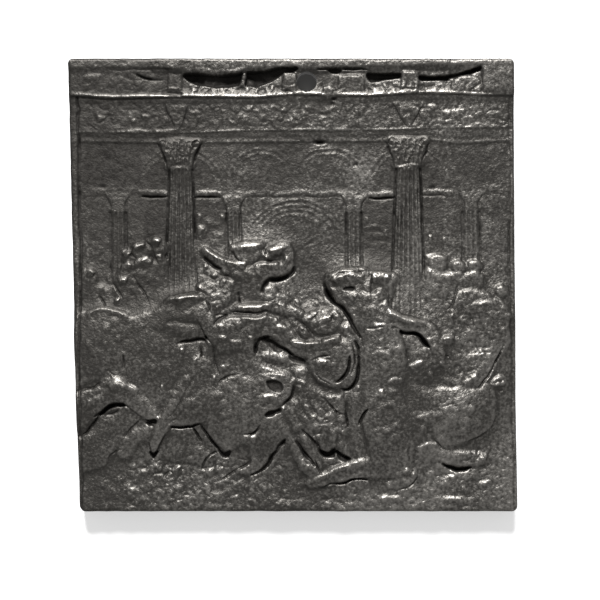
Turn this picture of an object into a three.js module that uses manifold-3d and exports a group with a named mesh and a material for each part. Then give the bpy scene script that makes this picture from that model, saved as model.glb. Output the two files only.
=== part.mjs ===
// A small cast relief plaque: men and centaurs fight in front of a colonnade.
//
// Millimetres, x to the right and z up. The plain back lies in the plane y = 0, where the plaque
// meets a wall, and the carving faces -y. The origin is the middle of the back. The whole plaque is
// one casting, so it is one solid: a field of heights above the back, with a hole bored through.

import * as THREE from 'three';
import { mergeVertices } from 'three/addons/utils/BufferGeometryUtils.js';
import Module from 'manifold-3d';

// ---------------------------------------------------------------- driving dimensions
const TOP = 30.15;
const FOOT = -30.25;
const LEFT_AT_TOP = -30.15;
const LEFT_AT_FOOT = -28.45;
const RIGHT_AT_TOP = 29.45;
const RIGHT_AT_FOOT = 29.85;
const LEFT_BOW = 0.15; // how far the left side bulges
const CORNER = 0.9; // corner radius

const HOLE_X = 1.75;
const HOLE_Z = 27.0;
const HOLE_RADIUS = 1.35;
const HOLE_SIDES = 28;
const DRILL_LENGTH = 12;

const WALL = 1.7; // height of the plain wall above the back
const STEEP = 5.0; // fall of every side wall: height per distance
const UNSET = -9.0; // lower than any height

const CELLS = 256; // squares along each side of the field of heights
const FRONT_TRIANGLES = 8300; // budget for the carved face
const SIZE_WEIGHT = 1.5; // how much more a miss counts on a larger triangle
const SOFTENING = 2; // passes that round the steps, as worn casting sand does

// ---------------------------------------------------------------- small mathematics
const clamp = (v, low, high) => Math.min(Math.max(v, low), high);
const mix = (a, b, t) => a + (b - a) * t;
const radians = THREE.MathUtils.degToRad;

// Height that eases from 0 at u = 0 to 1 at u = 1 like the side of a ball.
const ball = (u) => 1 - Math.sqrt(1 - u * u);

// Value at v of a line through knots [at, value], in rising order.
function along(v, knots) {
  if (v <= knots[0][0]) return knots[0][1];
  for (let i = 1; i < knots.length; i += 1) {
    if (v <= knots[i][0]) {
      return mix(knots[i - 1][1], knots[i][1], (v - knots[i - 1][0]) / (knots[i][0] - knots[i - 1][0]));
    }
  }
  return knots[knots.length - 1][1];
}

// A smooth path through hand-set points: a Catmull-Rom curve in as many numbers as a point has.
function smooth(points, closed = false, steps = 5) {
  const n = points.length;
  if (n < 3 && !closed) return points;
  const pick = (i) => (closed ? points[(i + n) % n] : points[clamp(i, 0, n - 1)]);
  const path = [];
  const spans = closed ? n : n - 1;
  for (let i = 0; i < spans; i += 1) {
    const [a, b, c, d] = [pick(i - 1), pick(i), pick(i + 1), pick(i + 2)];
    for (let s = 0; s < steps; s += 1) {
      const t = s / steps;
      path.push(b.map((_, k) => 0.5 * (2 * b[k] + (c[k] - a[k]) * t
        + (2 * a[k] - 5 * b[k] + 4 * c[k] - d[k]) * t * t
        + (3 * b[k] - a[k] - 3 * c[k] + d[k]) * t ** 3)));
    }
  }
  if (!closed) path.push(points[n - 1]);
  return path;
}

// Nearest place on the stretch p-q: how far along it, and how far from it.
function nearest(p, q, x, z) {
  const dx = q[0] - p[0];
  const dz = q[1] - p[1];
  const t = clamp(((x - p[0]) * dx + (z - p[1]) * dz) / (dx * dx + dz * dz + 1e-9), 0, 1);
  return [t, Math.hypot(x - p[0] - dx * t, z - p[1] - dz * t)];
}

// Distance to a closed outline, positive inside it.
function insideBy(path, x, z) {
  let distance = Infinity;
  let inside = false;
  for (let i = 0; i < path.length; i += 1) {
    const p = path[i];
    const q = path[(i + 1) % path.length];
    distance = Math.min(distance, nearest(p, q, x, z)[1]);
    const crosses = p[1] > z !== q[1] > z;
    if (crosses && x < p[0] + ((z - p[1]) / (q[1] - p[1])) * (q[0] - p[0])) inside = !inside;
  }
  return inside ? distance : -distance;
}

function boxOf(path, pad) {
  const xs = path.map((p) => p[0]);
  const zs = path.map((p) => p[1]);
  return [Math.min(...xs) - pad, Math.max(...xs) + pad, Math.min(...zs) - pad, Math.max(...zs) + pad];
}

// Points on an arc, angles in degrees.
function arc(cx, cz, r, from, to, count = 7) {
  const points = [];
  for (let i = 0; i < count; i += 1) {
    const a = radians(mix(from, to, i / (count - 1)));
    points.push([cx + r * Math.cos(a), cz + r * Math.sin(a)]);
  }
  return points;
}

// ---------------------------------------------------------------- the field of heights
const SIDE = CELLS + 1;
const fieldX = new Float64Array(SIDE * SIDE);
const fieldZ = new Float64Array(SIDE * SIDE);
const fieldH = new Float64Array(SIDE * SIDE).fill(WALL);

function leftEdge(z) {
  const t = (TOP - z) / (TOP - FOOT);
  return mix(LEFT_AT_TOP, LEFT_AT_FOOT, t) - LEFT_BOW * Math.sin(Math.PI * clamp(t, 0, 1));
}

function rightEdge(z) {
  return mix(RIGHT_AT_TOP, RIGHT_AT_FOOT, (TOP - z) / (TOP - FOOT));
}

// The corner of the sheet is rounded: points near it are drawn in, and the two sides stay straight.
function roundCorner(fromSide, fromEnd) {
  if (fromSide >= CORNER || fromEnd >= CORNER) return [fromSide, fromEnd];
  const p = 1 - fromSide / CORNER;
  const q = 1 - fromEnd / CORNER;
  return [
    CORNER * (1 - p * Math.sqrt(1 - (q * q) / 2)),
    CORNER * (1 - q * Math.sqrt(1 - (p * p) / 2)),
  ];
}

function layOutField() {
  for (let row = 0; row < SIDE; row += 1) {
    for (let column = 0; column < SIDE; column += 1) {
      const high = row >= CELLS / 2;
      const right = column >= CELLS / 2;
      const z0 = mix(FOOT, TOP, row / CELLS);
      const width = rightEdge(z0) - leftEdge(z0);
      const fromSide = (width * (right ? CELLS - column : column)) / CELLS;
      const fromEnd = high ? TOP - z0 : z0 - FOOT;
      const [a, b] = roundCorner(fromSide, fromEnd);
      fieldX[row * SIDE + column] = right ? rightEdge(z0) - a : leftEdge(z0) + a;
      fieldZ[row * SIDE + column] = high ? TOP - b : FOOT + b;
    }
  }
}

function forBox([x0, x1, z0, z1], change) {
  for (let i = 0; i < fieldH.length; i += 1) {
    if (fieldX[i] >= x0 && fieldX[i] <= x1 && fieldZ[i] >= z0 && fieldZ[i] <= z1) {
      fieldH[i] = change(fieldX[i], fieldZ[i], fieldH[i]);
    }
  }
}

const EVERYWHERE = [-Infinity, Infinity, -Infinity, Infinity];

// ---------------------------------------------------------------- forms that stand on the wall
// Each form gives its height at a place; levels are heights above the back.

// A limb: points [x, z, radius, rise], level along its crest, fullness `flat` of its section.
function limb(level, flat, points) {
  const path = smooth(points.map((p) => [p[0], p[1], p[2], p[3] ?? 0]));
  const reach = Math.max(...path.map((p) => p[2])) + 1;
  const height = (x, z) => {
    let best = UNSET;
    for (let i = 1; i < path.length; i += 1) {
      const [t, d] = nearest(path[i - 1], path[i], x, z);
      const r = mix(path[i - 1][2], path[i][2], t);
      const rise = mix(path[i - 1][3], path[i][3], t);
      const h = level + rise - flat * r * ball(Math.min(d / r, 1)) - STEEP * Math.max(d - r, 0);
      best = Math.max(best, h);
    }
    return best;
  };
  return { box: boxOf(path, reach), height };
}

// A plateau inside an outline, rolled off by `drop` over a margin `roll`.
function plateau(path, level, roll, drop, slopeX, slopeZ) {
  const box = boxOf(path, 1);
  const cx = (box[0] + box[1]) / 2;
  const cz = (box[2] + box[3]) / 2;
  const height = (x, z) => {
    const d = insideBy(path, x, z);
    const rolled = drop * ball(clamp(1 - d / roll, 0, 1));
    return level + slopeX * (x - cx) + slopeZ * (z - cz) - rolled - STEEP * Math.max(-d, 0);
  };
  return { box, height };
}

// A body with a smooth outline.
function mass(level, roll, drop, points, slopeX = 0, slopeZ = 0) {
  return plateau(smooth(points, true), level, roll, drop, slopeX, slopeZ);
}

// A block with a straight-sided outline.
function slab(level, roll, drop, points, slopeX = 0, slopeZ = 0) {
  return plateau(points, level, roll, drop, slopeX, slopeZ);
}

// An oval cap.
function knob(level, drop, x0, z0, rx, rz, turn = 0) {
  const ca = Math.cos(radians(turn));
  const sa = Math.sin(radians(turn));
  const height = (x, z) => {
    const p = ((x - x0) * ca + (z - z0) * sa) / rx;
    const q = (-(x - x0) * sa + (z - z0) * ca) / rz;
    const u = Math.hypot(p, q);
    return level - drop * ball(Math.min(u, 1)) - STEEP * Math.min(rx, rz) * Math.max(u - 1, 0);
  };
  return { box: boxOf([[x0, z0]], Math.max(rx, rz) + 1), height };
}

// Forms of one figure melt into each other over `blend`; the figure then stands in front of the rest.
function figure(blend, parts) {
  const boxes = parts.map((part) => part.box);
  const box = [0, 1, 2, 3].map((k) => (k % 2 ? Math.max : Math.min)(...boxes.map((b) => b[k])));
  forBox(box, (x, z, before) => {
    let own = UNSET;
    for (const part of parts) {
      const [x0, x1, z0, z1] = part.box;
      if (x >= x0 && x <= x1 && z >= z0 && z <= z1) {
        const h = part.height(x, z);
        const melt = blend > 0 ? Math.max(blend - Math.abs(own - h), 0) ** 2 / (4 * blend) : 0;
        own = Math.max(own, h) + melt;
      }
    }
    return Math.max(before, own);
  });
}

function place(...parts) {
  figure(0, parts);
}

// ---------------------------------------------------------------- cuts into what stands there
// A cut line that fades at both ends; a negative depth raises it.
function groove(depth, width, points) {
  const path = smooth(points);
  const last = path.length - 1;
  forBox(boxOf(path, width + 0.2), (x, z, before) => {
    let cut = 0;
    for (let i = 1; i < path.length; i += 1) {
      const [t, d] = nearest(path[i - 1], path[i], x, z);
      const swell = Math.max(Math.sin((Math.PI * (i - 1 + t)) / last), 0) ** 0.6;
      const fade = last > 1 ? 0.45 + 0.55 * swell : 1;
      const u = Math.min(d / (width * fade), 1);
      cut = Math.max(cut, (1 - u * u) ** 2 * fade);
    }
    return before - depth * cut;
  });
}

function ridge(height, width, points) {
  groove(-height, width, points);
}

// A hollow sunk to `floor` inside a smooth outline.
function pocket(floor, roll, points) {
  const path = smooth(points, true);
  forBox(boxOf(path, 1), (x, z, before) => {
    const wall = STEEP * Math.max(roll - insideBy(path, x, z), 0);
    return Math.min(before, floor + wall);
  });
}

// A straight-sided panel sunk by `depth`.
function recess(depth, roll, points) {
  forBox(boxOf(points, 0.5), (x, z, before) => {
    const sunk = clamp(insideBy(points, x, z) / roll, 0, 1);
    return before - depth * sunk;
  });
}

// A round column: axis at x = cx, radius r0 at its top z1 and r1 at its foot z0.
function column(cx, z0, z1, r0, r1, level, bulge) {
  forBox([cx - r1 - 1, cx + r1 + 1, z0, z1], (x, z, before) => {
    const r = mix(r0, r1, (z1 - z) / (z1 - z0));
    const u = Math.abs(x - cx) / r;
    const h = level - bulge * ball(Math.min(u, 1)) - STEEP * r * Math.max(u - 1, 0);
    return Math.max(before, h);
  });
}

// ---------------------------------------------------------------- the building
// Lines of the building that were cast a little crooked, as [x, z] knots.
const RIM_EDGE = [[-30, 28.85], [-17, 28.8], [-14.2, 28.4], [-11, 28.2], [-7.3, 28.25], [-6, 28.85],
  [0, 29.0], [3, 28.8], [6, 28.9], [10, 29.05], [14, 29.05], [17, 29.2], [25.2, 29.3]];
const LIP = [[-29, 25.2], [-26, 24.95], [-24, 24.85], [-20, 24.95], [-15, 25.05], [-10, 25.05],
  [-5, 24.95], [-2, 25.2], [0, 25.4], [4, 25.3], [10, 25.2], [13, 25.35], [16, 25.6], [22, 25.5],
  [25, 25.3]];
const BEAD = [[-29, 20.4], [-20, 20.35], [-14, 20.3], [-7, 20.6], [1, 20.7], [12, 20.7], [20, 21.0],
  [30, 21.1]];
const BEAM = [[-29, 19.0], [-20, 18.85], [-12, 18.85], [-4, 18.95], [12, 19.05], [18.5, 19.2],
  [22, 18.8], [30, 19.2]];
const LEFT_RIM = [[-30.5, -28.05], [-24, -28.2], [-10, -28.4], [4, -28.45], [19, -28.65], [31, -28.9]];
const RIGHT_RIM = [[-30.5, 29.4], [-3.5, 29.0], [20, 28.9], [31, 28.9]];

// Beam, frieze, cornice and top rim, each a step in height from the foot up.
function entablature() {
  forBox(EVERYWHERE, (x, z, before) => {
    const beam = along(x, BEAM);
    if (z < beam - 0.6) return before;
    const bead = along(x, BEAD);
    const lip = along(x, LIP);
    if (z > along(x, RIM_EDGE)) return 3.1;
    if (z > lip) return 3.05 - 1.15 * clamp(z - lip - 0.05, 0, 1) ** 0.8;
    if (z <= bead + 0.1) {
      const upperBand = 0.12 * clamp((z - beam - 0.75) * 6, 0, 1);
      const beamFace = WALL + 0.6 * clamp((z - beam + 0.1) * 5, 0, 1) + upperBand;
      const beadFace = 2.42 + 0.4 * Math.sqrt(clamp(1 - Math.abs(z - bead + 0.08) / 0.28, 0, 1));
      return Math.max(before, z > bead - 0.35 ? Math.max(beamFace, beadFace) : beamFace);
    }
    return 2.3 + 0.35 * clamp((z - lip + 1.25) * 4, 0, 1) + 0.35 * clamp((z - lip + 0.35) * 5, 0, 1);
  });
}

// The raised rim at the left and right sides, with a sunk line along its inner edge.
function sideRims() {
  forBox(EVERYWHERE, (x, z, before) => {
    const left = along(z, LEFT_RIM);
    const right = along(z, RIGHT_RIM);
    let h = before;
    if (x < left + 0.15) h = Math.max(h, 2.6 - 0.9 * clamp((x - left + 0.15) / 0.3, 0, 1));
    if (x > right - 0.15) h = Math.max(h, 2.5 - 0.8 * clamp((right - 0.1 - x) / 0.25, 0, 1));
    if (z > 25) return h;
    return h - 0.45 * Math.exp(-(((x - left - 0.05) / 0.22) ** 2))
      - 0.3 * Math.exp(-(((x - right + 0.05) / 0.2) ** 2));
  });
}

// Arches, panels, small columns and the second cornice behind the fight.
function arcade() {
  for (const cx of [-15.2, 15.3]) {
    recess(0.16, 0.25, arc(cx, 12.5, 5.0, 0, 180, 13));
    ridge(0.12, 0.3, arc(cx, 12.5, 5.15, 4, 176, 13));
  }
  for (const r of [5.2, 6.1, 7.0]) {
    ridge(0.1, 0.35, arc(0.3, 4.2, r, 10, 170, 15));
  }
  recess(0.35, 0.3, [[-20.1, 11.85], [-16.5, 11.85], [-16.5, 2], [-20.2, 2]]);
  recess(0.4, 0.3, [[-13.6, 11.8], [-9.7, 11.8], [-9.15, 11], [-8.85, 10.2], [-8.7, 9], [-8.7, 2],
    [-13.6, 2]]);
  recess(0.4, 0.3, [[9.95, 11.8], [13.9, 11.8], [13.9, 1], [9.2, 1], [9.15, 9.4], [9.35, 10.6]]);
  recess(0.25, 0.3, [[16.9, 12.1], [20.3, 12.1], [20.2, 2], [16.9, 2]]);
  const ledges = [[-20.9, -16, 12.45], [-14, -8.9, 12.35], [9.3, 14, 12.4], [16.5, 22, 12.6]];
  for (const [x0, x1, z] of ledges) {
    place(slab(2.15, 0.25, 0.15, [[x0, z - 0.45], [x1, z - 0.45], [x1, z + 0.2], [x0, z + 0.2]]));
  }
  const smallColumns = [
    // axis, top, half width of capital, radius at neck and foot
    [-8.05, 11.75, 1.6, 0.92, 0.95],
    [8.05, 11.9, 1.85, 1.0, 1.05],
    [-23.4, 11.9, 1.7, 1.0, 1.05],
    [23.7, 12.0, 1.65, 1.1, 1.2],
  ];
  for (const [cx, top, half, r0, r1] of smallColumns) {
    place(mass(2.15, 0.5, 0.25, [[cx - half, top], [cx + half, top], [cx + half * 0.62, top - 1.2],
      [cx + r0, top - 2.4], [cx - r0, top - 2.4], [cx - half * 0.62, top - 1.2]]));
    column(cx, 0.5, top - 2.2, r0, r1, 2.12, 0.3);
  }
}

// Leafy bell of a big column, from its neck ring to its top.
function capital(cx, neck, top, w0, w1, level) {
  place(mass(level, 0.7, 0.45, [[cx - w0, neck], [cx + w0, neck], [cx + w0 * 1.15, neck + 1.5],
    [cx + w1 * 0.85, neck + 2.7], [cx + w1, top - 0.3], [cx + w1 * 0.85, top + 0.1],
    [cx - w1 * 0.85, top + 0.1], [cx - w1, top - 0.3], [cx - w1 * 0.85, neck + 2.7],
    [cx - w0 * 1.15, neck + 1.5]]));
  place(limb(level + 0.05, 0.6, [[cx - w0 - 0.25, neck, 0.2], [cx, neck + 0.1, 0.2],
    [cx + w0 + 0.25, neck, 0.2]]));
}

function bigColumns() {
  capital(-15.1, 15.45, 19.5, 1.75, 2.75, 2.95);
  column(-15.02, -3.0, 15.4, 1.5, 2.15, 2.85, 0.75);
  capital(15.3, 15.5, 20.0, 1.8, 2.75, 2.95);
  column(15.3, -5.5, 15.4, 1.58, 2.3, 2.85, 0.75);
}

// The attic under the top rim: deep gaps, with pedestals standing in them.
function attic() {
  place(slab(2.6, 0.3, 0.1, [[-28.6, 28.9], [-28.6, 28.1], [-22, 28.05], [-20, 27.75], [-17.2, 27.3],
    [-17.1, 28.9]]));
  pocket(0.7, 0.25, [[-14.9, 28.1], [-12, 28.0], [-8, 28.0], [-5, 28.0], [-1.6, 28.1], [-0.3, 28.5],
    [0.6, 28.3], [-1.5, 27.9], [-2.4, 27.4], [-4, 26.9], [-5, 26.5], [-7, 26.5], [-9, 26.45],
    [-11, 26.3], [-12.5, 26.45], [-13.8, 26.7], [-14.6, 27.4]]);
  pocket(0.7, 0.2, [[9.7, 28.3], [12, 28.2], [14.1, 28.3], [14.1, 27.3], [12, 27.15], [10.2, 27.2]]);
  pocket(0.7, 0.2, [[16.9, 28.2], [19, 28.1], [21, 28.1], [23, 28.45], [25.2, 28.7], [25.2, 28.35],
    [22.6, 28.1], [21, 27.8], [20.5, 27.3], [19, 27.4], [17, 27.4]]);
  // pedestals: left, right, foot, top
  const pedestals = [[-17, -14.7, 25.4, 27.95], [-1.5, 0.5, 25.6, 28.1], [5.9, 9.5, 25.6, 27.85],
    [14.2, 16.8, 25.8, 28.5]];
  for (const [x0, x1, z0, z1] of pedestals) {
    place(slab(2.45, 0.25, 0.15, [[x0, z0], [x1, z0], [x1, z1], [x0, z1]]));
  }
  place(mass(2.4, 0.5, 0.3, [[21.1, 25.6], [25.0, 25.6], [25.0, 28.2], [22.6, 28.1], [21.3, 27.6]]));
  place(knob(2.7, 0.9, 4.8, 25.4, 1.6, 1.15));
  place(slab(3.0, 0.3, 0.1, [[25.3, 26.0], [30.2, 25.9], [30.2, 30.5], [25.3, 30.5]]));
}

// Two tapering brackets on the frieze, over the big columns.
function brackets() {
  // axis, foot, top, half width at the top
  for (const [cx, tip, top, half] of [[-15.7, 20.4, 24.0, 1.5], [15.4, 21.1, 24.3, 2.3]]) {
    place(slab(2.62, 0.35, 0.15, [[cx - half, top], [cx + half, top], [cx + 0.35, tip],
      [cx - 0.35, tip]]));
  }
}

// The rocky floor rises towards the foot of the plaque.
function ground() {
  forBox(EVERYWHERE, (x, z, before) => {
    const slope = 1.2 * clamp((-17 - z) / 13, 0, 1) ** 0.8;
    return Math.max(before, WALL + slope);
  });
  place(mass(2.5, 2.5, 0.6, [[-28.4, -23], [-24, -22.5], [-20, -23.6], [-16, -23.6], [-11, -23.5],
    [-8, -26], [-3, -27], [2, -26.5], [2, -31], [-28.4, -31]]));
}

// ---------------------------------------------------------------- the figures
function crowdLeft() {
  figure(0.25, [
    knob(2.6, 0.6, -20.3, 4.2, 1.35, 1.55),
    knob(2.5, 0.55, -18.0, 4.9, 1.3, 1.5),
    knob(2.35, 0.45, -22.2, 3.5, 0.8, 0.9),
    mass(2.45, 0.9, 0.5, [[-23.2, 2.3], [-21.4, 3.0], [-19.5, 3.2], [-18.3, 3.2], [-17.2, 3.8],
      [-16.5, 2], [-16.8, -3], [-19.2, -4.5], [-23, -4.5], [-24, -0.5]]),
    limb(2.5, 0.6, [[-22.8, 0.2, 0.6], [-21.7, 1.2, 0.7], [-21, 2.2, 0.7]]),
  ]);
  figure(0.25, [
    knob(2.4, 0.5, -27.2, 0.8, 1.2, 1.2),
    mass(2.2, 0.8, 0.4, [[-28.8, 0.2], [-26, 0.3], [-24.6, -0.3], [-24.2, -3], [-28.8, -4.5]]),
    knob(2.3, 0.3, -23.4, -2.6, 0.7, 0.5),
  ]);
  groove(0.45, 0.4, [[-21.5, 1.2], [-20.9, -0.2], [-19.9, -1.4], [-19.2, -2.8]]);
  groove(0.4, 0.32, [[-24, 0.1], [-23.4, -0.9], [-22.9, -2.0]]);
  groove(0.4, 0.35, [[-19.3, 5.6], [-18.6, 4.7], [-18.4, 3.8]]);
  groove(0.25, 0.25, [[-25.9, -1.4], [-25.3, -2.2], [-25, -3.0]]);
}

function recessFigures() {
  figure(0.25, [
    knob(1.95, 0.35, -12.2, 6.8, 0.75, 0.9),
    mass(1.8, 0.5, 0.3, [[-13.2, 5.8], [-11.2, 6.0], [-9.6, 7.0], [-9, 5], [-9.2, 2], [-13.2, 2]]),
    knob(1.8, 0.3, -10.2, 6.4, 0.6, 0.5),
    limb(1.75, 0.5, [[-12.8, 8.7, 0.3], [-11, 8.6, 0.35], [-9.4, 9.0, 0.3]]),
  ]);
  figure(0.2, [
    knob(1.75, 0.3, 12.4, 6.6, 0.6, 0.5),
    knob(1.65, 0.3, 9.9, 8.5, 0.5, 0.4),
    limb(1.7, 0.5, [[9.6, 4.4, 0.5], [11.5, 5.0, 0.6], [13.4, 4.6, 0.5]]),
  ]);
}

function horseLeft() {
  // rump, barrel and far side of the left centaur
  figure(0.4, [
    mass(3.3, 1.1, 0.75, [[-29.0, -4.7], [-27.6, -3.85], [-25.4, -3.15], [-24.0, -3.3], [-22.2, -3.95],
      [-20.8, -3.75], [-19.3, -4.3], [-17.3, -3.4], [-15.5, -4.6], [-14.2, -7.6], [-13.8, -10],
      [-14.8, -13], [-17, -16.2], [-19.2, -17.3], [-21.3, -15.4], [-23, -13.6], [-25.6, -13.0],
      [-28, -13.8], [-29, -14.2]]),
    knob(3.5, 0.7, -25.4, -8.0, 4.2, 4.8),
    knob(3.5, 0.8, -18.0, -9.5, 4.6, 5.2, -35),
    knob(3.45, 0.6, -19.5, -6.0, 3.2, 2.0, 10),
  ]);
  groove(0.3, 0.45, [[-22.4, -9.6], [-22.6, -11.4], [-23.6, -12.0]]);
  groove(0.15, 0.6, [[-21.1, -6.4], [-21.3, -8.0]]);
  groove(0.3, 0.4, [[-28.2, -9.6], [-27.2, -10.4], [-26.4, -10.5]]);
  // raised hind leg, doubled under
  figure(0.35, [
    limb(3.6, 0.35, [[-28.9, -17.2, 2.6], [-26.6, -15.6, 2.0], [-24.2, -14.4, 1.35],
      [-22.6, -14.6, 1.45], [-21.0, -15.4, 1.45], [-19.7, -16.5, 1.3], [-18.6, -17.5, 0.95]]),
    limb(3.75, 0.5, [[-24.9, -13.0, 0.5], [-23.4, -12.8, 0.6], [-22.4, -13.4, 0.5]]),
  ]);
  // lower leg, on the ground
  figure(0.35, [
    mass(3.0, 0.8, 0.6, [[-25.2, -17.6], [-23.8, -17.0], [-22.6, -16.2], [-21, -17.3], [-20.2, -18.2],
      [-22, -19.9], [-22.5, -21.2], [-23.4, -22.1], [-24.6, -23.6], [-25.4, -24.6], [-28.6, -25],
      [-28.7, -20.6], [-26.5, -19.4]]),
    limb(3.05, 0.3, [[-19.4, -19.4, 0.9], [-21.4, -20.6, 1.0], [-22.6, -22.4, 0.9]]),
  ]);
  pocket(1.9, 0.25, [[-25.7, -17.3], [-25.1, -16.5], [-24.4, -15.95], [-23.4, -15.65], [-22.5, -15.8],
    [-23.1, -16.2], [-23.6, -16.9], [-24.6, -17.3]]);
  groove(1.1, 0.42, [[-22.9, -15.8], [-22.0, -15.95], [-21.2, -16.6], [-20.5, -17.2], [-19.9, -17.8]]);
  pocket(1.5, 0.2, [[-20.1, -18.2], [-19.2, -18.15], [-18.2, -18.0], [-18.3, -18.9], [-19.3, -18.7]]);
  groove(1.0, 0.45, [[-25.3, -17.4], [-25.5, -18.4], [-26.4, -19.1], [-27.1, -19.9], [-28.0, -20.4]]);
  groove(0.6, 0.3, [[-20.1, -18.2], [-21.2, -19.1], [-22.0, -19.9], [-22.3, -20.8]]);
  groove(0.55, 0.38, [[-22.8, -22.0], [-23.8, -22.4], [-24.3, -23.2], [-24.8, -24.2]]);
  groove(0.6, 0.35, [[-28.6, -14.2], [-27.5, -13.9], [-26.2, -13.7], [-25.6, -13.1]]);
}

function manLeft() {
  // bent back and shoulder, with the arm that hangs from it
  figure(0.4, [
    mass(3.85, 1.2, 0.8, [[-17.6, -2.9], [-16.3, -1.95], [-15, -1.5], [-14, -1.25], [-12.5, -1.5],
      [-11.6, -2.1], [-11.0, -3], [-10.8, -4.2], [-11.2, -5.4], [-12.4, -5.3], [-14, -5.2],
      [-16.5, -4.9], [-18.5, -4.3]]),
    limb(3.6, 0.35, [[-17.5, -5.2, 1.6], [-15.4, -5.8, 1.4], [-13.4, -6.2, 0.9]]),
    limb(3.75, 0.45, [[-11.9, -3.6, 1.3], [-11.2, -5.6, 1.1], [-10.6, -7.4, 0.9]]),
  ]);
  // head bent down under the arm
  figure(0.3, [
    knob(3.3, 0.9, -13.2, -9.3, 1.9, 1.6, -20),
    knob(3.4, 0.5, -11.6, -8.9, 0.8, 1.2),
    knob(3.35, 0.35, -14.6, -8.9, 0.45, 0.4),
    knob(3.4, 0.35, -12.9, -10.2, 0.6, 0.5),
  ]);
  pocket(3.0, 0.2, [[-14.9, -7.8], [-14.2, -7.45], [-13.1, -7.3], [-11.8, -6.9], [-11.5, -7.2],
    [-12.6, -7.5], [-13.6, -7.7], [-14.5, -7.9]]);
  groove(0.9, 0.35, [[-12.7, -5.2], [-12.1, -6.0], [-11.6, -7.1], [-10.8, -8.1], [-10.5, -9.4],
    [-10.2, -10.8], [-9.8, -11.8]]);
  groove(0.4, 0.25, [[-12.7, -8.6], [-12.3, -9.2], [-12.3, -9.8]]);
  // long foreleg reaching down to the hoof
  figure(0.4, [
    limb(3.6, 0.2, [[-12.2, -11.0, 1.7], [-13.4, -13.2, 1.7], [-15.3, -15.9, 1.3],
      [-16.9, -18.2, 0.85], [-17.9, -20.2, 0.6], [-18.5, -21.8, 0.55]]),
    knob(3.4, 0.4, -17.8, -17.7, 0.6, 0.4),
  ]);
  pocket(1.6, 0.15, [[-19.0, -22.2], [-18.5, -22.4], [-18.0, -22.2], [-18.3, -23.0], [-18.6, -23.1]]);
  groove(0.8, 0.25, [[-19.0, -20.6], [-18.9, -21.6], [-18.8, -22.4]]);
  groove(0.8, 0.4, [[-17.2, -20.3], [-17.6, -21.2], [-18.0, -22.0]]);
}

function horseRight() {
  figure(0.4, [
    mass(3.45, 1.2, 0.8, [[-10.0, -8.4], [-8, -7.9], [-5.4, -8.8], [-3.8, -10.3], [-0.7, -11.6],
      [0.3, -13.2], [-0.4, -15.2], [-1.9, -16.2], [-1.2, -18.0], [0.0, -19.9], [-1.4, -21.1],
      [-2.7, -22.6], [-3.6, -24.2], [-5.6, -25.4], [-7.6, -24.7], [-5.9, -23.6], [-6.4, -21.4],
      [-8.4, -22.2], [-9.8, -21.8], [-11.2, -20.2], [-11.9, -18.5], [-13.8, -19.1], [-16.6, -19.0],
      [-16.4, -17.5], [-14.5, -14.5], [-11.8, -11.9], [-10.3, -10.5]]),
    knob(3.75, 0.6, -6.5, -15.5, 4.2, 4.0, -40),
    knob(3.6, 0.6, -12.5, -15.8, 3.8, 2.6, 30),
  ]);
  groove(0.35, 0.4, [[-9.9, -13.8], [-9.4, -13.0], [-8.6, -12.4], [-7.4, -11.8]]);
  groove(0.9, 0.32, [[-17.0, -19.3], [-15.6, -19.0], [-13.6, -19.15], [-12.8, -18.7], [-12.0, -18.4]]);
  groove(0.5, 0.35, [[-13.3, -19.2], [-12.6, -20.1], [-12.1, -21.0]]);
  groove(0.9, 0.35, [[-11.9, -18.7], [-11.3, -20.2], [-10.4, -21.0], [-10.0, -21.8]]);
  pocket(1.6, 0.2, [[-10.0, -22.2], [-9.2, -22.4], [-8.4, -22.1], [-8.5, -22.8], [-9.3, -22.9]]);
  groove(0.5, 0.3, [[-10.3, -22.3], [-11.4, -22.9], [-12.2, -24.0]]);
  // legs and ground under the belly
  place(mass(2.75, 1.0, 0.5, [[-16.6, -19.6], [-13.6, -19.5], [-12.2, -21.2], [-10.5, -22.6],
    [-11.5, -24], [-15, -23.8], [-17.5, -23.0]]));
  // tail looped forward
  place(limb(3.6, 0.4, [[-4.0, -11.2, 0.25], [-2.6, -11.7, 0.35], [-1.3, -12.5, 0.45],
    [-0.7, -13.7, 0.45], [-1.2, -15.1, 0.4], [-2.5, -15.8, 0.3]]));
  pocket(2.2, 0.25, [[-3.1, -13.1], [-2.5, -12.9], [-1.8, -13.2], [-1.5, -13.7], [-1.9, -13.95],
    [-2.7, -13.7]]);
  groove(0.7, 0.3, [[-0.1, -13.4], [-0.3, -14.6], [-0.9, -15.5], [-2.0, -16.1]]);
  pocket(2.2, 0.25, [[-3.9, -17.4], [-3.6, -16.9], [-2.9, -16.7], [-1.9, -16.35], [-1.8, -16.7],
    [-2.6, -17.0], [-3.1, -17.4]]);
  groove(1.0, 0.45, [[-0.1, -20.1], [-1.4, -21.3], [-2.5, -22.6], [-3.6, -24.3], [-4.6, -25.0],
    [-5.9, -25.6]]);
  groove(0.7, 0.35, [[-5.6, -23.4], [-7.2, -24.6], [-8.4, -25.1], [-9.4, -25.8]]);
  groove(0.3, 0.4, [[-5.0, -18.4], [-5.3, -19.6], [-6.4, -19.9]]);
}

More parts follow.
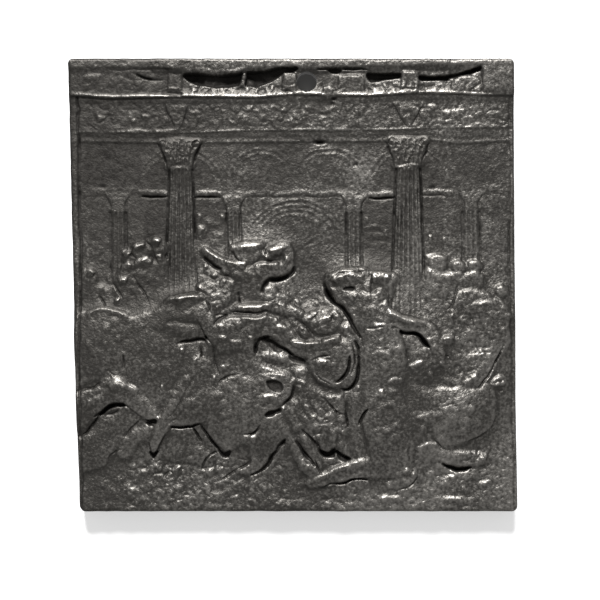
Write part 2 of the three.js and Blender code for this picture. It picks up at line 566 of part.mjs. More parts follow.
function raisedArmsMan() {
  // man behind the fight with both forearms over his head
  figure(0.3, [
    mass(2.85, 0.8, 0.55, [[-8.9, 2.5], [-7.2, 2.9], [-4, 2.9], [-1.5, 3.0], [-0.6, 2.2], [-1.2, 1.2],
      [-3.2, 0.7], [-3.9, -0.7], [-4.2, -3], [-7.4, -3], [-7.4, -0.7], [-8.4, 0.8]]),
    limb(3.05, 0.6, [[-11.6, 4.4, 0.55], [-10.4, 3.5, 0.75], [-9.0, 2.6, 0.9], [-7.6, 1.9, 1.0]]),
    limb(3.15, 0.6, [[-3.4, 4.2, 0.55], [-2.2, 4.7, 0.7], [-1.0, 4.7, 0.65], [-0.5, 3.9, 0.6]]),
    limb(3.1, 0.55, [[-0.5, 3.6, 0.6], [-0.7, 2.5, 0.8], [-2.0, 1.9, 0.9], [-3.8, 1.9, 1.0]]),
  ]);
  figure(0.3, [
    knob(3.15, 0.7, -6.1, 4.0, 1.75, 1.35, 10),
    limb(3.1, 0.5, [[-7.9, 4.9, 0.4], [-6.2, 5.2, 0.5], [-4.4, 5.2, 0.4]]),
    knob(3.0, 0.4, -3.6, 3.9, 0.7, 0.5, -40),
  ]);
  groove(0.8, 0.2, [[-3.8, 3.35], [-2.8, 3.15], [-1.8, 3.2]]);
  groove(1.0, 0.5, [[-12.0, 3.7], [-11.2, 3.0], [-10.3, 2.4], [-9.5, 2.1]]);
  groove(1.3, 0.5, [[0.3, 2.4], [0.0, 1.6], [-0.9, 1.0], [-2.1, 0.65], [-3.3, 0.6], [-3.8, -0.1],
    [-4.1, -1.0]]);
  groove(0.3, 0.35, [[-7.3, -1.2], [-7.2, -2.4]]);
  ridge(0.2, 0.5, [[-5.6, 0.1], [-5.4, -0.7]]);
}

function curlyHead() {
  figure(0.3, [
    knob(3.45, 0.9, -10.0, -1.9, 2.2, 2.3, -20),
    knob(3.2, 0.5, -11.8, -0.3, 1.1, 0.8, 15),
    knob(3.1, 0.5, -8.8, 0.0, 1.2, 0.7, 5),
    knob(2.6, 0.4, -9.2, 1.5, 0.5, 0.5),
    knob(2.6, 0.4, -10.8, 0.9, 0.5, 0.5),
  ]);
  groove(0.5, 0.35, [[-10.7, -4.3], [-9.8, -4.0], [-8.6, -4.1]]);
  groove(0.7, 0.3, [[-10.7, -3.5], [-10.6, -4.4], [-10.2, -5.3]]);
}

function armBands() {
  // striking arms of the centre pair
  figure(0.35, [
    limb(3.35, 0.5, [[-8.0, -3.4, 0.5], [-6, -3.2, 0.65], [-4, -3.15, 0.65], [-2.2, -3.4, 0.6],
      [-0.4, -3.6, 0.7], [1.0, -4.2, 0.5]]),
    knob(3.3, 0.6, -2.4, -1.9, 1.9, 1.1, -10),
    knob(3.1, 0.5, -3.0, -0.8, 0.9, 0.7),
  ]);
  figure(0.35, [
    limb(4.0, 0.5, [[-9.2, -6.4, 1.3], [-8.0, -5.8, 1.5], [-6, -5.6, 1.3], [-4, -5.6, 1.2],
      [-2.4, -6.0, 1.1], [-1.0, -6.8, 1.0], [0.2, -8.2, 0.9]]),
    mass(3.85, 1.0, 0.6, [[-10.3, -5.6], [-9.4, -4.7], [-7.6, -4.35], [-3.6, -4.3], [-2, -4.9],
      [-3.2, -6.8], [-5.2, -7.4], [-5.2, -9.4], [-7.4, -8.9], [-10.0, -9.2], [-10.4, -7.6]]),
  ]);
  // dark gap under the arm
  pocket(1.7, 0.3, [[-5.1, -9.1], [-4.9, -7.6], [-3.6, -7.0], [-2.9, -7.4], [-1.4, -8.3], [-0.3, -9.2],
    [1.0, -9.7], [1.7, -10.1], [1.5, -10.8], [0.4, -10.7], [-0.6, -9.7], [-1.8, -8.9], [-3.2, -8.4],
    [-4.4, -8.2]]);
  // crumpled hand and cloth in the gap
  figure(0.2, [
    knob(3.2, 0.6, -3.4, -9.6, 1.3, 0.7, 5),
    knob(3.15, 0.5, -1.6, -9.9, 1.0, 0.6, -10),
    knob(3.1, 0.4, -2.2, -9.3, 0.6, 0.4),
  ]);
  groove(0.3, 0.3, [[-9.8, -6.6], [-8.6, -6.95], [-7.4, -7.45], [-6.2, -7.35]]);
}

function centreFighter() {
  // long haired head bowed behind a round shield
  figure(0.35, [
    knob(3.6, 1.0, 4.2, -5.2, 2.5, 1.75, -12),
    limb(3.75, 0.5, [[1.8, -4.6, 0.4], [3.2, -4.0, 0.5], [5.0, -4.0, 0.5], [5.9, -4.6, 0.4]]),
    knob(3.45, 0.5, 1.4, -6.4, 0.6, 0.8),
    knob(3.5, 0.5, 7.1, -6.0, 0.9, 0.7),
  ]);
  for (let k = 0; k < 4; k += 1) {
    groove(0.25, 0.2, [[1.9 + 0.9 * k, -5.0 + 0.25 * k], [2.7 + 0.9 * k, -4.75 + 0.1 * k],
      [3.4 + 0.9 * k, -5.3]]);
  }
  groove(0.5, 0.3, [[1.2, -5.0], [1.9, -5.8], [2.7, -6.6]]);
  figure(0.35, [
    mass(3.7, 1.1, 0.8, [[-0.1, -7.4], [1.2, -7.6], [3.2, -7.2], [5.3, -6.9], [7.2, -7.2], [8.6, -8.2],
      [8.8, -10.4], [8.4, -12.6], [7.2, -13.9], [5.2, -14.0], [3.2, -13.0], [2.0, -11.4], [1.6, -10.0],
      [0.6, -8.8]]),
    limb(3.9, 0.5, [[-0.4, -7.8, 0.7], [1.6, -8.6, 1.0], [3.6, -8.3, 1.0], [5.6, -8.0, 0.9],
      [6.8, -8.6, 0.7]]),
  ]);
  // shield rim and its hollow
  groove(1.0, 0.5, [[7.9, -8.6], [7.8, -10.0], [7.3, -11.2], [6.6, -12.2], [5.5, -12.9]]);
  groove(0.6, 0.4, [[2.4, -9.9], [3.4, -9.4], [4.6, -9.35], [5.1, -9.6]]);
  ridge(0.3, 0.35, [[3.3, -10.0], [4.6, -10.4]]);
  ridge(0.25, 0.3, [[3.0, -11.4], [4.3, -12.4], [6.2, -13.1], [7.0, -12.9]]);
  groove(1.3, 0.4, [[8.9, -9.4], [8.8, -11.4], [8.6, -12.8], [8.0, -13.7], [7.0, -14.0], [6.4, -13.8]]);
  // tunic below the shield
  figure(0.35, [
    mass(3.4, 1.0, 0.7, [[0.0, -11.3], [1.6, -11.2], [2.2, -12.8], [4.6, -14.4], [7.0, -14.5],
      [7.2, -16.8], [7.2, -19.6], [7.9, -22.0], [7.2, -23.2], [5.8, -22.0], [4.6, -22.4], [3.6, -22.2],
      [3.0, -21.0], [1.4, -19.6], [0.2, -20.0], [-0.8, -18.4], [-1.2, -16.6], [0.2, -14.6],
      [0.2, -13.0]]),
    knob(3.6, 0.6, 4.0, -19.2, 2.6, 2.2),
  ]);
  ridge(0.35, 0.35, [[-0.4, -11.9], [0.5, -12.8], [1.8, -13.1]]);
  ridge(0.25, 0.3, [[0.2, -13.4], [0.9, -13.9]]);
  for (let k = 0; k < 5; k += 1) {
    groove(0.3, 0.25, [[0.3 + 0.9 * k, -15.2 + 0.1 * k], [1.0 + 1.1 * k, -16.6],
      [2.0 + 1.1 * k, -17.6]]);
  }
  for (let k = 0; k < 5; k += 1) {
    groove(0.3, 0.25, [[2.2 + 1.0 * k, -18.3 - 0.1 * k], [2.8 + 1.0 * k, -19.6],
      [2.9 + 0.9 * k, -21.0]]);
  }
  groove(0.7, 0.35, [[3.9, -14.8], [4.8, -15.8], [5.8, -16.8], [6.8, -17.2]]);
  groove(0.6, 0.3, [[6.7, -15.0], [6.8, -17.0], [7.0, -18.8], [7.4, -20.2]]);
  pocket(1.6, 0.25, [[3.6, -22.0], [4.6, -22.3], [5.6, -22.0], [5.4, -22.8], [4.6, -22.8],
    [3.9, -22.6]]);
  pocket(1.7, 0.2, [[5.8, -22.2], [6.6, -22.7], [7.6, -23.2], [7.2, -23.5], [6.2, -23.1]]);
  groove(0.8, 0.3, [[1.2, -19.4], [2.0, -19.8], [2.8, -20.6], [3.2, -21.6], [3.5, -23.6]]);
  groove(1.1, 0.45, [[0.2, -20.4], [0.9, -21.4], [1.3, -22.5], [2.0, -23.2], [2.5, -23.8]]);
  // shins
  figure(0.3, [
    limb(3.3, 0.5, [[1.6, -20.4, 0.9], [2.4, -22.0, 0.75], [3.0, -23.6, 0.7], [3.2, -25.0, 0.5]]),
    limb(3.2, 0.5, [[-0.4, -20.6, 0.7], [0.6, -22.6, 0.8], [1.6, -24.2, 0.8], [2.4, -25.2, 0.6]]),
  ]);
}

function lyingLeg() {
  figure(0.35, [
    limb(3.5, 0.25, [[2.4, -26.4, 0.6], [4.4, -25.8, 0.9], [6.4, -25.0, 1.1], [8.6, -24.5, 1.3],
      [10.8, -24.2, 1.5], [13, -24.2, 1.6]]),
  ]);
  groove(0.8, 0.35, [[4.2, -26.8], [5.2, -26.4], [7.0, -26.35], [8.2, -25.95], [10.0, -26.0]]);
}

function rightMan() {
  // the tall man who lifts his arm across his head
  figure(0.4, [
    mass(3.75, 2.0, 0.7, [[8.2, -0.9], [9.2, -1.0], [10.4, -1.2], [11.4, -0.8], [12.4, -1.5],
      [12.9, -3.2], [15.4, -4.3], [17.9, -4.9], [18.4, -6.4], [17.4, -6.9], [15.6, -6.0], [14.2, -6.0],
      [14.9, -8.6], [15.1, -11.6], [14.8, -14.6], [16.6, -17.2], [17.8, -19.2], [16.2, -21.8],
      [15.6, -24.4], [13.8, -25.6], [11.0, -24.8], [10.0, -22.8], [9.3, -19.8], [9.0, -18.2],
      [8.9, -14.6], [9.0, -10.2], [8.9, -7.0], [7.8, -5.4], [7.1, -3.7], [7.2, -2]]),
    knob(4.0, 0.6, 10.9, -3.4, 2.0, 2.3),
    knob(3.95, 0.6, 12.2, -9.5, 2.6, 3.4),
    knob(3.95, 0.6, 12.2, -18.0, 3.2, 4.6),
  ]);
  groove(0.5, 0.4, [[9.4, -5.8], [10.6, -6.0], [12.0, -5.7], [13.2, -5.9], [14.0, -5.8]]);
  groove(0.45, 0.4, [[12.7, -1.6], [12.8, -2.6], [12.7, -3.4]]);
  // near arm, forward and down to the right
  figure(0.4, [
    limb(4.0, 0.5, [[12.2, -4.4, 1.1], [14.0, -5.0, 1.05], [16.0, -5.5, 1.0], [17.6, -6.2, 1.1],
      [18.6, -7.6, 1.0], [19.2, -9.0, 0.8], [19.0, -10.4, 0.7]]),
  ]);
  pocket(1.8, 0.25, [[14.1, -6.2], [15.0, -6.5], [16.2, -6.6], [17.2, -7.4], [17.9, -8.4],
    [17.2, -8.2], [16.4, -7.4], [15.4, -7.0], [14.6, -6.9]]);
  // raised forearm and elbow
  figure(0.35, [
    limb(3.5, 0.5, [[5.0, 0.7, 0.9], [6.6, 0.9, 1.1], [8.4, 1.1, 1.0], [9.4, 1.4, 0.7]]),
    limb(3.35, 0.5, [[10.6, 1.1, 0.7], [11.8, 1.0, 0.8], [13.0, 0.9, 0.7]]),
    limb(3.3, 0.5, [[9.5, 1.6, 0.6], [9.6, 0.4, 0.7], [9.8, -0.8, 0.6]]),
    mass(3.25, 0.8, 0.6, [[4.2, 0.4], [5.2, -0.6], [6.6, 0.0], [8.8, 0.2], [9.2, -1.4], [8.8, -3.4],
      [7.6, -3.8], [6.6, -3.2], [5.4, -1.8]]),
    knob(3.5, 0.7, 7.6, -2.2, 1.1, 1.3),
    mass(2.9, 0.5, 0.3, [[10.2, 0.4], [13.2, 0.4], [13.1, -2.0], [11.4, -0.6], [10.2, -0.8]]),
  ]);
  groove(1.4, 0.5, [[3.9, 0.1], [4.4, -0.9], [4.7, -2.0], [5.5, -2.8], [6.4, -3.4], [7.2, -4.2],
    [7.7, -5.2], [8.3, -6.3], [9.0, -7.0]]);
  pocket(2.0, 0.2, [[6.3, -0.75], [7.2, -0.35], [8.1, -0.3], [8.3, -0.9], [7.6, -1.1], [6.9, -1.0]]);
  groove(0.6, 0.3, [[10.4, 0.6], [10.4, -0.4]]);
  // waist, hip folds and legs
  ridge(0.3, 0.45, [[12.0, -13.2], [13.4, -12.6], [14.3, -12.7]]);
  ridge(0.25, 0.4, [[11.2, -14.2], [11.9, -14.0]]);
  ridge(0.25, 0.4, [[8.5, -13.9], [9.0, -13.5]]);
  groove(0.35, 0.4, [[14.8, -8.8], [15.0, -9.9]]);
  groove(0.9, 0.35, [[10.2, -16.0], [9.6, -16.6], [9.2, -17.4], [8.7, -18.4]]);
  groove(0.45, 0.3, [[9.2, -19.2], [9.3, -20.4], [9.7, -21.8], [10.0, -22.8]]);
  groove(0.35, 0.4, [[14.9, -12.0], [14.8, -14.0]]);
  groove(0.4, 0.35, [[15.4, -21.6], [15.4, -23.2], [15.3, -24.2]]);
  // left thigh of the same man, behind the tunic
  place(limb(3.35, 0.4, [[8.2, -15.4, 1.2], [8.4, -18.0, 1.2], [8.6, -20.5, 1.0], [9.0, -22.6, 0.9]]));
}

function crowdRight() {
  figure(0.25, [
    knob(2.5, 0.6, 19.3, 2.9, 1.25, 1.2),
    knob(2.45, 0.5, 22.0, 2.2, 1.0, 1.0),
    knob(2.45, 0.5, 24.1, 2.3, 1.0, 0.95),
    mass(2.35, 0.9, 0.5, [[17.6, 1.8], [19.6, 1.9], [21.6, 1.5], [24.8, 1.6], [25.4, 0.4], [25.4, -4],
      [21.4, -5], [17.4, -5]]),
  ]);
  figure(0.3, [
    knob(2.85, 0.6, 23.0, -1.8, 1.1, 1.1),
    knob(3.05, 0.7, 25.7, -3.6, 1.5, 1.45),
    knob(2.5, 0.5, 27.7, -0.9, 0.9, 0.9),
    mass(2.7, 0.9, 0.5, [[21.4, -1.4], [22.6, -0.7], [24.8, -0.6], [26.6, -1.6], [28.4, -3],
      [28.7, -8], [26, -11], [22, -11], [19.4, -8.5], [20.4, -3.6]]),
  ]);
  figure(0.3, [
    mass(3.1, 0.9, 0.5, [[19.0, -7.6], [20.4, -7.0], [21.6, -7.3], [22, -9], [23.4, -9], [24.4, -8.4],
      [26.4, -9.4], [26.6, -11], [24.6, -13.8], [19.8, -13.8], [17.4, -12.4], [17.8, -9.4]]),
    knob(3.3, 0.5, 20.4, -7.6, 1.0, 0.7, 10),
    knob(3.4, 0.6, 16.6, -10.8, 2.4, 3.2, 10),
  ]);
  groove(0.45, 0.4, [[21.8, 0.2], [21.5, -1.4], [21.2, -2.5], [20.4, -3.4]]);
  groove(0.5, 0.35, [[23.3, -3.9], [23.7, -4.8], [24.1, -5.6]]);
  // raised arm at the right edge
  figure(0.3, [
    limb(3.5, 0.45, [[27.4, -7.2, 0.7], [26.8, -8.8, 0.8], [26.0, -10.6, 0.9], [24.8, -12.2, 1.0],
      [23.4, -13.0, 1.0], [21.6, -13.2, 0.9]]),
  ]);
  groove(1.0, 0.38, [[28.1, -7.8], [27.3, -9.2], [26.7, -10.9], [25.8, -12.4], [25.0, -12.9],
    [24.4, -14.0]]);
  groove(0.7, 0.35, [[20.9, -9.4], [20.3, -9.6], [19.8, -10.2]]);
  place(knob(2.9, 0.4, 27.9, -6.1, 0.6, 0.5));
  place(knob(2.9, 0.4, 28.5, -4.4, 0.6, 0.5));
}

function fallenMan() {
  figure(0.45, [
    mass(3.7, 1.5, 0.9, [[15.4, -12.2], [17.4, -13.4], [19.1, -13.9], [20.4, -13.7], [22.4, -13.4],
      [24.4, -13.6], [25.6, -12.9], [26.6, -14.2], [27.0, -16.4], [26.6, -18.8], [25.3, -20.2],
      [23.0, -21.2], [20.2, -21.8], [18.8, -21.0], [18.0, -19.4], [16.6, -18.9], [15.4, -17.6],
      [14.8, -14.6]]),
    knob(4.0, 0.7, 22.6, -17.4, 3.6, 2.8, 10),
    knob(3.85, 0.5, 17.4, -17.9, 1.6, 0.8, 15),
  ]);
  groove(0.3, 0.4, [[15.9, -17.6], [17.2, -17.3], [18.3, -16.5], [20.2, -15.6], [21.8, -15.0]]);
  groove(0.5, 0.35, [[18.0, -19.2], [18.4, -20.3], [19.0, -21.1], [19.9, -21.9]]);
  groove(0.5, 0.4, [[27.0, -16.4], [26.8, -18.2], [26.2, -19.4], [25.2, -20.3], [24.2, -20.9],
    [23.0, -21.2]]);
  groove(0.4, 0.35, [[18.0, -10.2], [18.4, -11.2]]);
  figure(0.35, [
    mass(3.0, 1.2, 0.3, [[15.6, -21.9], [18.4, -21.2], [21, -22], [24, -22.4], [25.8, -23.6],
      [23.6, -24.2], [21, -24.0], [18.6, -23.4], [16, -23.6]]),
    mass(2.85, 1.0, 0.3, [[16.8, -25.6], [19.6, -25.9], [22, -25.3], [23.8, -24.8], [24.2, -26],
      [21.6, -27.2], [18, -27.0]]),
    mass(3.1, 0.8, 0.5, [[12.0, -26.8], [13.6, -25.2], [15.0, -24.6], [16.6, -24.7], [16.4, -26.0],
      [15.0, -27.2], [12.4, -27.6]]),
  ]);
  pocket(1.9, 0.25, [[19.6, -23.9], [21.0, -24.2], [23.6, -24.3], [22.6, -24.8], [21.4, -24.8],
    [20.2, -24.4]]);
  groove(0.7, 0.35, [[16.7, -24.8], [16.5, -25.6], [15.8, -26.4], [15.0, -27.0]]);
  groove(0.5, 0.6, [[27.0, -13.4], [27.5, -14.3]]);
  place(knob(3.0, 0.4, 27.2, -12.9, 1.1, 0.6, 15));
  place(limb(2.9, 0.5, [[11.6, -28.6, 0.4], [13, -28.5, 0.55], [14.4, -28.6, 0.4]]));
  place(limb(2.9, 0.5, [[19.6, -28.7, 0.4], [21.2, -28.6, 0.5], [22.9, -28.7, 0.4]]));
}
// ---------------------------------------------------------------- from heights to a solid
// Every height inside the sheet becomes the mean of itself and its four neighbours.
function softenField() {
  for (let pass = 0; pass < SOFTENING; pass += 1) {
    const before = fieldH.slice();
    for (let row = 1; row < CELLS; row += 1) {
      for (let column = 1; column < CELLS; column += 1) {
        const k = row * SIDE + column;
        const around = before[k - 1] + before[k + 1] + before[k - SIDE] + before[k + SIDE];
        fieldH[k] = (before[k] * 2 + around) / 6;
      }
    }
  }
}

// The field is meshed as halved right triangles. A triangle is halved again where its long edge would
// miss the carving by more than an allowance, and the budget of triangles sets that allowance. A miss
// counts for more on a large triangle, so that broad forms come before the fine steps between them.
function cornerOf(id) {
  let [ax, ay, bx, by, cx, cy] = [CELLS, CELLS, 0, 0, 0, CELLS];
  if (id & 1) [ax, ay, bx, by, cx, cy] = [0, 0, CELLS, CELLS, CELLS, 0];
  for (let left = id >> 1; left > 1; left >>= 1) {
    const mx = (ax + bx) >> 1;
    const my = (ay + by) >> 1;
    if (left & 1) [ax, ay, bx, by] = [cx, cy, ax, ay];
    else [ax, ay, bx, by] = [bx, by, cx, cy];
    [cx, cy] = [mx, my];
  }
  return [ax, ay, bx, by];
}

// Points on the rounded corners are always kept.
function isCornerPoint(column, row) {
  const reach = Math.ceil((CORNER / (TOP - FOOT)) * CELLS);
  const nearSide = Math.min(column, CELLS - column);
  const nearEnd = Math.min(row, CELLS - row);
  return (nearSide === 0 && nearEnd <= reach) || (nearEnd === 0 && nearSide <= reach);
}

function missTable() {
  const miss = new Float64Array(SIDE * SIDE);
  const triangles = CELLS * CELLS * 2 - 2;
  const parents = triangles - CELLS * CELLS;
  for (let i = triangles - 1; i >= 0; i -= 1) {
    const [ax, ay, bx, by] = cornerOf(i + 2);
    const mx = (ax + bx) >> 1;
    const my = (ay + by) >> 1;
    const cx = mx + my - ay;
    const cy = my + ax - mx;
    const middle = my * SIDE + mx;
    const straight = (fieldH[ay * SIDE + ax] + fieldH[by * SIDE + bx]) / 2;
    const size = Math.hypot(bx - ax, by - ay) ** SIZE_WEIGHT;
    const own = isCornerPoint(mx, my) ? Infinity : size * Math.abs(straight - fieldH[middle]);
    miss[middle] = Math.max(miss[middle], own);
    if (i < parents) {
      const one = ((ay + cy) >> 1) * SIDE + ((ax + cx) >> 1);
      const other = ((by + cy) >> 1) * SIDE + ((bx + cx) >> 1);
      miss[middle] = Math.max(miss[middle], miss[one], miss[other]);
    }
  }
  return miss;
}

function splitFace(miss, allowance) {
  const faces = [];
  const visit = (ax, ay, bx, by, cx, cy) => {
    const mx = (ax + bx) >> 1;
    const my = (ay + by) >> 1;
    if (Math.abs(ax - cx) + Math.abs(ay - cy) > 1 && miss[my * SIDE + mx] > allowance) {
      visit(cx, cy, ax, ay, mx, my);
      visit(bx, by, cx, cy, mx, my);
    } else {
      faces.push([ay * SIDE + ax, by * SIDE + bx, cy * SIDE + cx]);
    }
  };
  visit(0, 0, CELLS, CELLS, CELLS, 0);
  visit(CELLS, CELLS, 0, 0, 0, CELLS);
  return faces;
}

function faceWithinBudget() {
  const miss = missTable();
  let [fine, coarse] = [0, 100];
  for (let turn = 0; turn < 24; turn += 1) {
    const allowance = (fine + coarse) / 2;
    if (splitFace(miss, allowance).length > FRONT_TRIANGLES) fine = allowance;
    else coarse = allowance;
  }
  return splitFace(miss, coarse);
}

// Grid points on the four sides that the face uses, in one round trip.
function rimOf(used) {
  const rim = [];
  for (let k = 0; k < CELLS; k += 1) rim.push(k);
  for (let k = 0; k < CELLS; k += 1) rim.push(k * SIDE + CELLS);
  for (let k = CELLS; k > 0; k -= 1) rim.push(CELLS * SIDE + k);
  for (let k = CELLS; k > 0; k -= 1) rim.push(k * SIDE);
  return rim.filter((point) => used.has(point));
}

// The closed body: carved face, four sides, and a plain back fanned from its middle.
function bodyGeometry() {
  const faces = faceWithinBudget();
  const used = new Map();
  const positions = [];
  for (const face of faces) {
    for (const point of face) {
      if (!used.has(point)) {
        used.set(point, used.size);
        positions.push(fieldX[point], -fieldH[point], fieldZ[point]);
      }
    }
  }
  const index = faces.flatMap(([a, b, c]) => [used.get(a), used.get(c), used.get(b)]);
  const rim = rimOf(used);
  const firstBack = used.size;
  for (const point of rim) positions.push(fieldX[point], 0, fieldZ[point]);
  const middle = firstBack + rim.length;
  positions.push(0, 0, 0);
  for (let k = 0; k < rim.length; k += 1) {
    const next = (k + 1) % rim.length;
    const [a, b] = [used.get(rim[k]), used.get(rim[next])];
    const [c, d] = [firstBack + k, firstBack + next];
    index.push(a, c, b, b, c, d, c, middle, d);
  }
  const geometry = new THREE.BufferGeometry();
  geometry.setAttribute('position', new THREE.Float32BufferAttribute(positions, 3));
  geometry.setIndex(index);
  return geometry;
}

function holeGeometry() {
  const geometry = new THREE.CylinderGeometry(HOLE_RADIUS, HOLE_RADIUS, DRILL_LENGTH, HOLE_SIDES);
  geometry.translate(HOLE_X, 0, HOLE_Z);
  return geometry;
}

const wasm = await Module();
wasm.setup();

function toSolid(geometry) {
  const bare = geometry.clone();
  bare.deleteAttribute('normal');
  bare.deleteAttribute('uv');
  const merged = mergeVertices(bare, 1e-5);
  return new wasm.Manifold(new wasm.Mesh({
    numProp: 3,
    vertProperties: Float32Array.from(merged.attributes.position.array),
    triVerts: Uint32Array.from(merged.index.array),
  }));
}

function toGeometry(solid) {
  const mesh = solid.getMesh();
  const geometry = new THREE.BufferGeometry();
  geometry.setAttribute('position', new THREE.Float32BufferAttribute(mesh.vertProperties, 3));
  geometry.setIndex(Array.from(mesh.triVerts));
  geometry.computeVertexNormals();
  return geometry;
}

// ---------------------------------------------------------------- the plaque
layOutField();
arcade();
entablature();
attic();
brackets();
bigColumns();
sideRims();
ground();
recessFigures();
crowdLeft();
crowdRight();
raisedArmsMan();
curlyHead();
horseLeft();
horseRight();
manLeft();
armBands();
centreFighter();
lyingLeg();
rightMan();
fallenMan();

softenField();

const drilled = toSolid(bodyGeometry()).subtract(toSolid(holeGeometry()));

const metal = new THREE.MeshStandardMaterial({ color: 0x45433f, roughness: 0.55, metalness: 0.8 });
metal.name = 'patinated_metal';

const plaque = new THREE.Mesh(toGeometry(drilled), metal);
plaque.name = 'plaque';

const group = new THREE.Group();
group.add(plaque);

export default group;
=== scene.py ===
# %% [markdown]
# # A small cast relief plaque
#
# The object is one bronze casting about 60 mm square. Men and centaurs fight in front of a
# colonnade, and a hole near the top takes a cord. Everything below makes one mesh from a field of
# heights: a sheet of numbers that says how far the metal stands in front of the flat back.
#
# A sculptor's way would be to model each body as a solid and press them into a slab. A low relief
# isn't made of whole bodies, though: each form is a low swelling with a line cut round it. A field
# of heights is that idea, so it needs fewer points and can't turn inside out.
#
# Geometry Nodes are the usual way to set out what repeats, such as flutes, leaves and curls. Here
# nothing is a piece of its own: every repeat melts into the same skin of metal, as it does in a
# mould. So the repeats are loops that raise or cut the sheet, and there is no joint to hide.
#
# Lengths are millimetres until the mesh is made, x to the right and z up. The back lies in y = 0
# and the carving faces -y.

# %% Load the frame
import math
import bpy
import numpy as np
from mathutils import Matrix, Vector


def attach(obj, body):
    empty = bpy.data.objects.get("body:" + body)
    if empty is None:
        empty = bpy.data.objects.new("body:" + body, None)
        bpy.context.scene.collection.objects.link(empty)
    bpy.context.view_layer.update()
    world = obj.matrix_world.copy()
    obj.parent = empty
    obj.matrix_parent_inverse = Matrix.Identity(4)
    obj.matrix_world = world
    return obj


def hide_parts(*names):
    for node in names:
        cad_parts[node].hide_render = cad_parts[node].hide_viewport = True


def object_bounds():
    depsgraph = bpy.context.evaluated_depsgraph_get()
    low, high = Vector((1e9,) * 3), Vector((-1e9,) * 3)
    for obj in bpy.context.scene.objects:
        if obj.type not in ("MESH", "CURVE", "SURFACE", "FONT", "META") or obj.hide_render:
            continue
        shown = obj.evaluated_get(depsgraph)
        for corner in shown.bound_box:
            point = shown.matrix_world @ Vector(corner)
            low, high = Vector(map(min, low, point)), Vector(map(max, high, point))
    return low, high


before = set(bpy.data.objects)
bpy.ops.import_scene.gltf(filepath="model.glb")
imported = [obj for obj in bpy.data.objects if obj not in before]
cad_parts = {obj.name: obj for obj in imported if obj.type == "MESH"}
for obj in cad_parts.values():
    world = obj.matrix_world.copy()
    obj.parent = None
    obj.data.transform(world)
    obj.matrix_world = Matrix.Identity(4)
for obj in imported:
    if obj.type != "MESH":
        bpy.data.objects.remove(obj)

frame_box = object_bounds()
print("frame box in metres:", frame_box)

# %% [markdown]
# ## The sheet of heights
#
# The sheet covers the plaque with a little to spare. Its spacing is finer than the thinnest line
# of the carving. Four sheets lie over each other. `form` holds the forms that stand on the wall,
# and `cut` the lines and hollows cut into them, so that forms can later be flattened while the cut
# lines keep their depth. The third marks the edges painted bright, partly as wear and partly as
# painted highlight, and the fourth the hollows painted dark as painted shade. A form that stands in
# front of another clears all three behind it.

# %% Sheets of heights, cuts and tones
SPACING = 0.1
WALL = 1.7  # plain wall above the back
STEEP = 5.0  # fall of the side walls of every form
UNSET = -9.0  # lower than any height
FAR = 99.0  # longer than any distance
HALF_WIDTH, HALF_HEIGHT = 30.4, 30.6  # of the sheet

xs = np.arange(-HALF_WIDTH, HALF_WIDTH, SPACING)
zs = np.arange(-HALF_HEIGHT, HALF_HEIGHT, SPACING)
X, Z = np.meshgrid(xs, zs)
form = np.full(X.shape, WALL)
cut, wear_and_painted_highlight, painted_shade = np.zeros(X.shape), np.zeros(X.shape), np.zeros(X.shape)
print("sheet of", X.shape, "heights")

# %% [markdown]
# ## Nothing on a casting is quite straight
#
# A Gaussian blur turns random numbers into lumps of one size, which serve as grain, and as a slow
# wander of every outline: forms are read at places pushed aside by a tenth of a millimetre or two,
# so that no contour looks drawn with a compass.

# %% Blur, grain and wander
rng = np.random.default_rng(7)


def blur(sheet, spread):
    """A Gaussian blur by Fourier transform, spread in mm."""
    pad = int(4 * spread / SPACING) + 1
    big = np.pad(sheet, pad, mode="reflect")
    fz = np.fft.fftfreq(big.shape[0], SPACING)[:, None]
    fx = np.fft.rfftfreq(big.shape[1], SPACING)[None, :]
    wave = np.fft.rfft2(big) * np.exp(-2 * (np.pi * spread) ** 2 * (fx ** 2 + fz ** 2))
    return np.fft.irfft2(wave, big.shape)[pad:-pad, pad:-pad]


def grain(size):
    """Even noise of one lump size, with heights of about -1 to 1."""
    noise = blur(rng.standard_normal(X.shape), size) - blur(rng.standard_normal(X.shape), size * 2)
    return noise / (noise.std() * 2)


WANDER = 0.16
LONG_WAVE, SHORT_WAVE = 0.9, 0.35
XW = X + WANDER * (grain(LONG_WAVE) + 0.5 * grain(SHORT_WAVE))
ZW = Z + WANDER * (grain(LONG_WAVE) + 0.5 * grain(SHORT_WAVE))
print("outlines wander by up to", round(float(np.abs(XW - X).max()), 2), "mm")

# %% [markdown]
# ## Small mathematics
#
# A path through a few given points becomes a smooth curve (Catmull-Rom: it passes through every
# point, which makes it easy to steer). Distances to such paths are the base of every form below.
# Work is done in a window round each form, because the whole sheet is much larger than a hand.

# %% Paths, windows and distances
def clamp(v, low, high):
    return np.clip(v, low, high)


def window(x0, x1, z0, z1, pad=1.0):
    """The rows and columns of the sheets that cover a box."""
    i0, i1 = np.searchsorted(xs, [x0 - pad, x1 + pad])
    j0, j1 = np.searchsorted(zs, [z0 - pad, z1 + pad])
    return slice(j0, j1), slice(i0, i1)


def smooth(points, closed=False, steps=5):
    """A curve through the points, in as many numbers as a point has."""
    P = [np.array(p, float) for p in points]
    n = len(P)
    if n < 3 and not closed:
        return P
    pick = (lambda i: P[i % n]) if closed else (lambda i: P[min(max(i, 0), n - 1)])
    path = []
    for i in range(n if closed else n - 1):
        a, b, c, d = pick(i - 1), pick(i), pick(i + 1), pick(i + 2)
        for t in np.arange(steps) / steps:
            path.append(0.5 * (2 * b + (c - a) * t + (2 * a - 5 * b + 4 * c - d) * t * t
                               + (3 * b - a - 3 * c + d) * t ** 3))
    return path if closed else path + [P[-1]]


def box_of(path):
    x, z = [p[0] for p in path], [p[1] for p in path]
    return min(x), max(x), min(z), max(z)


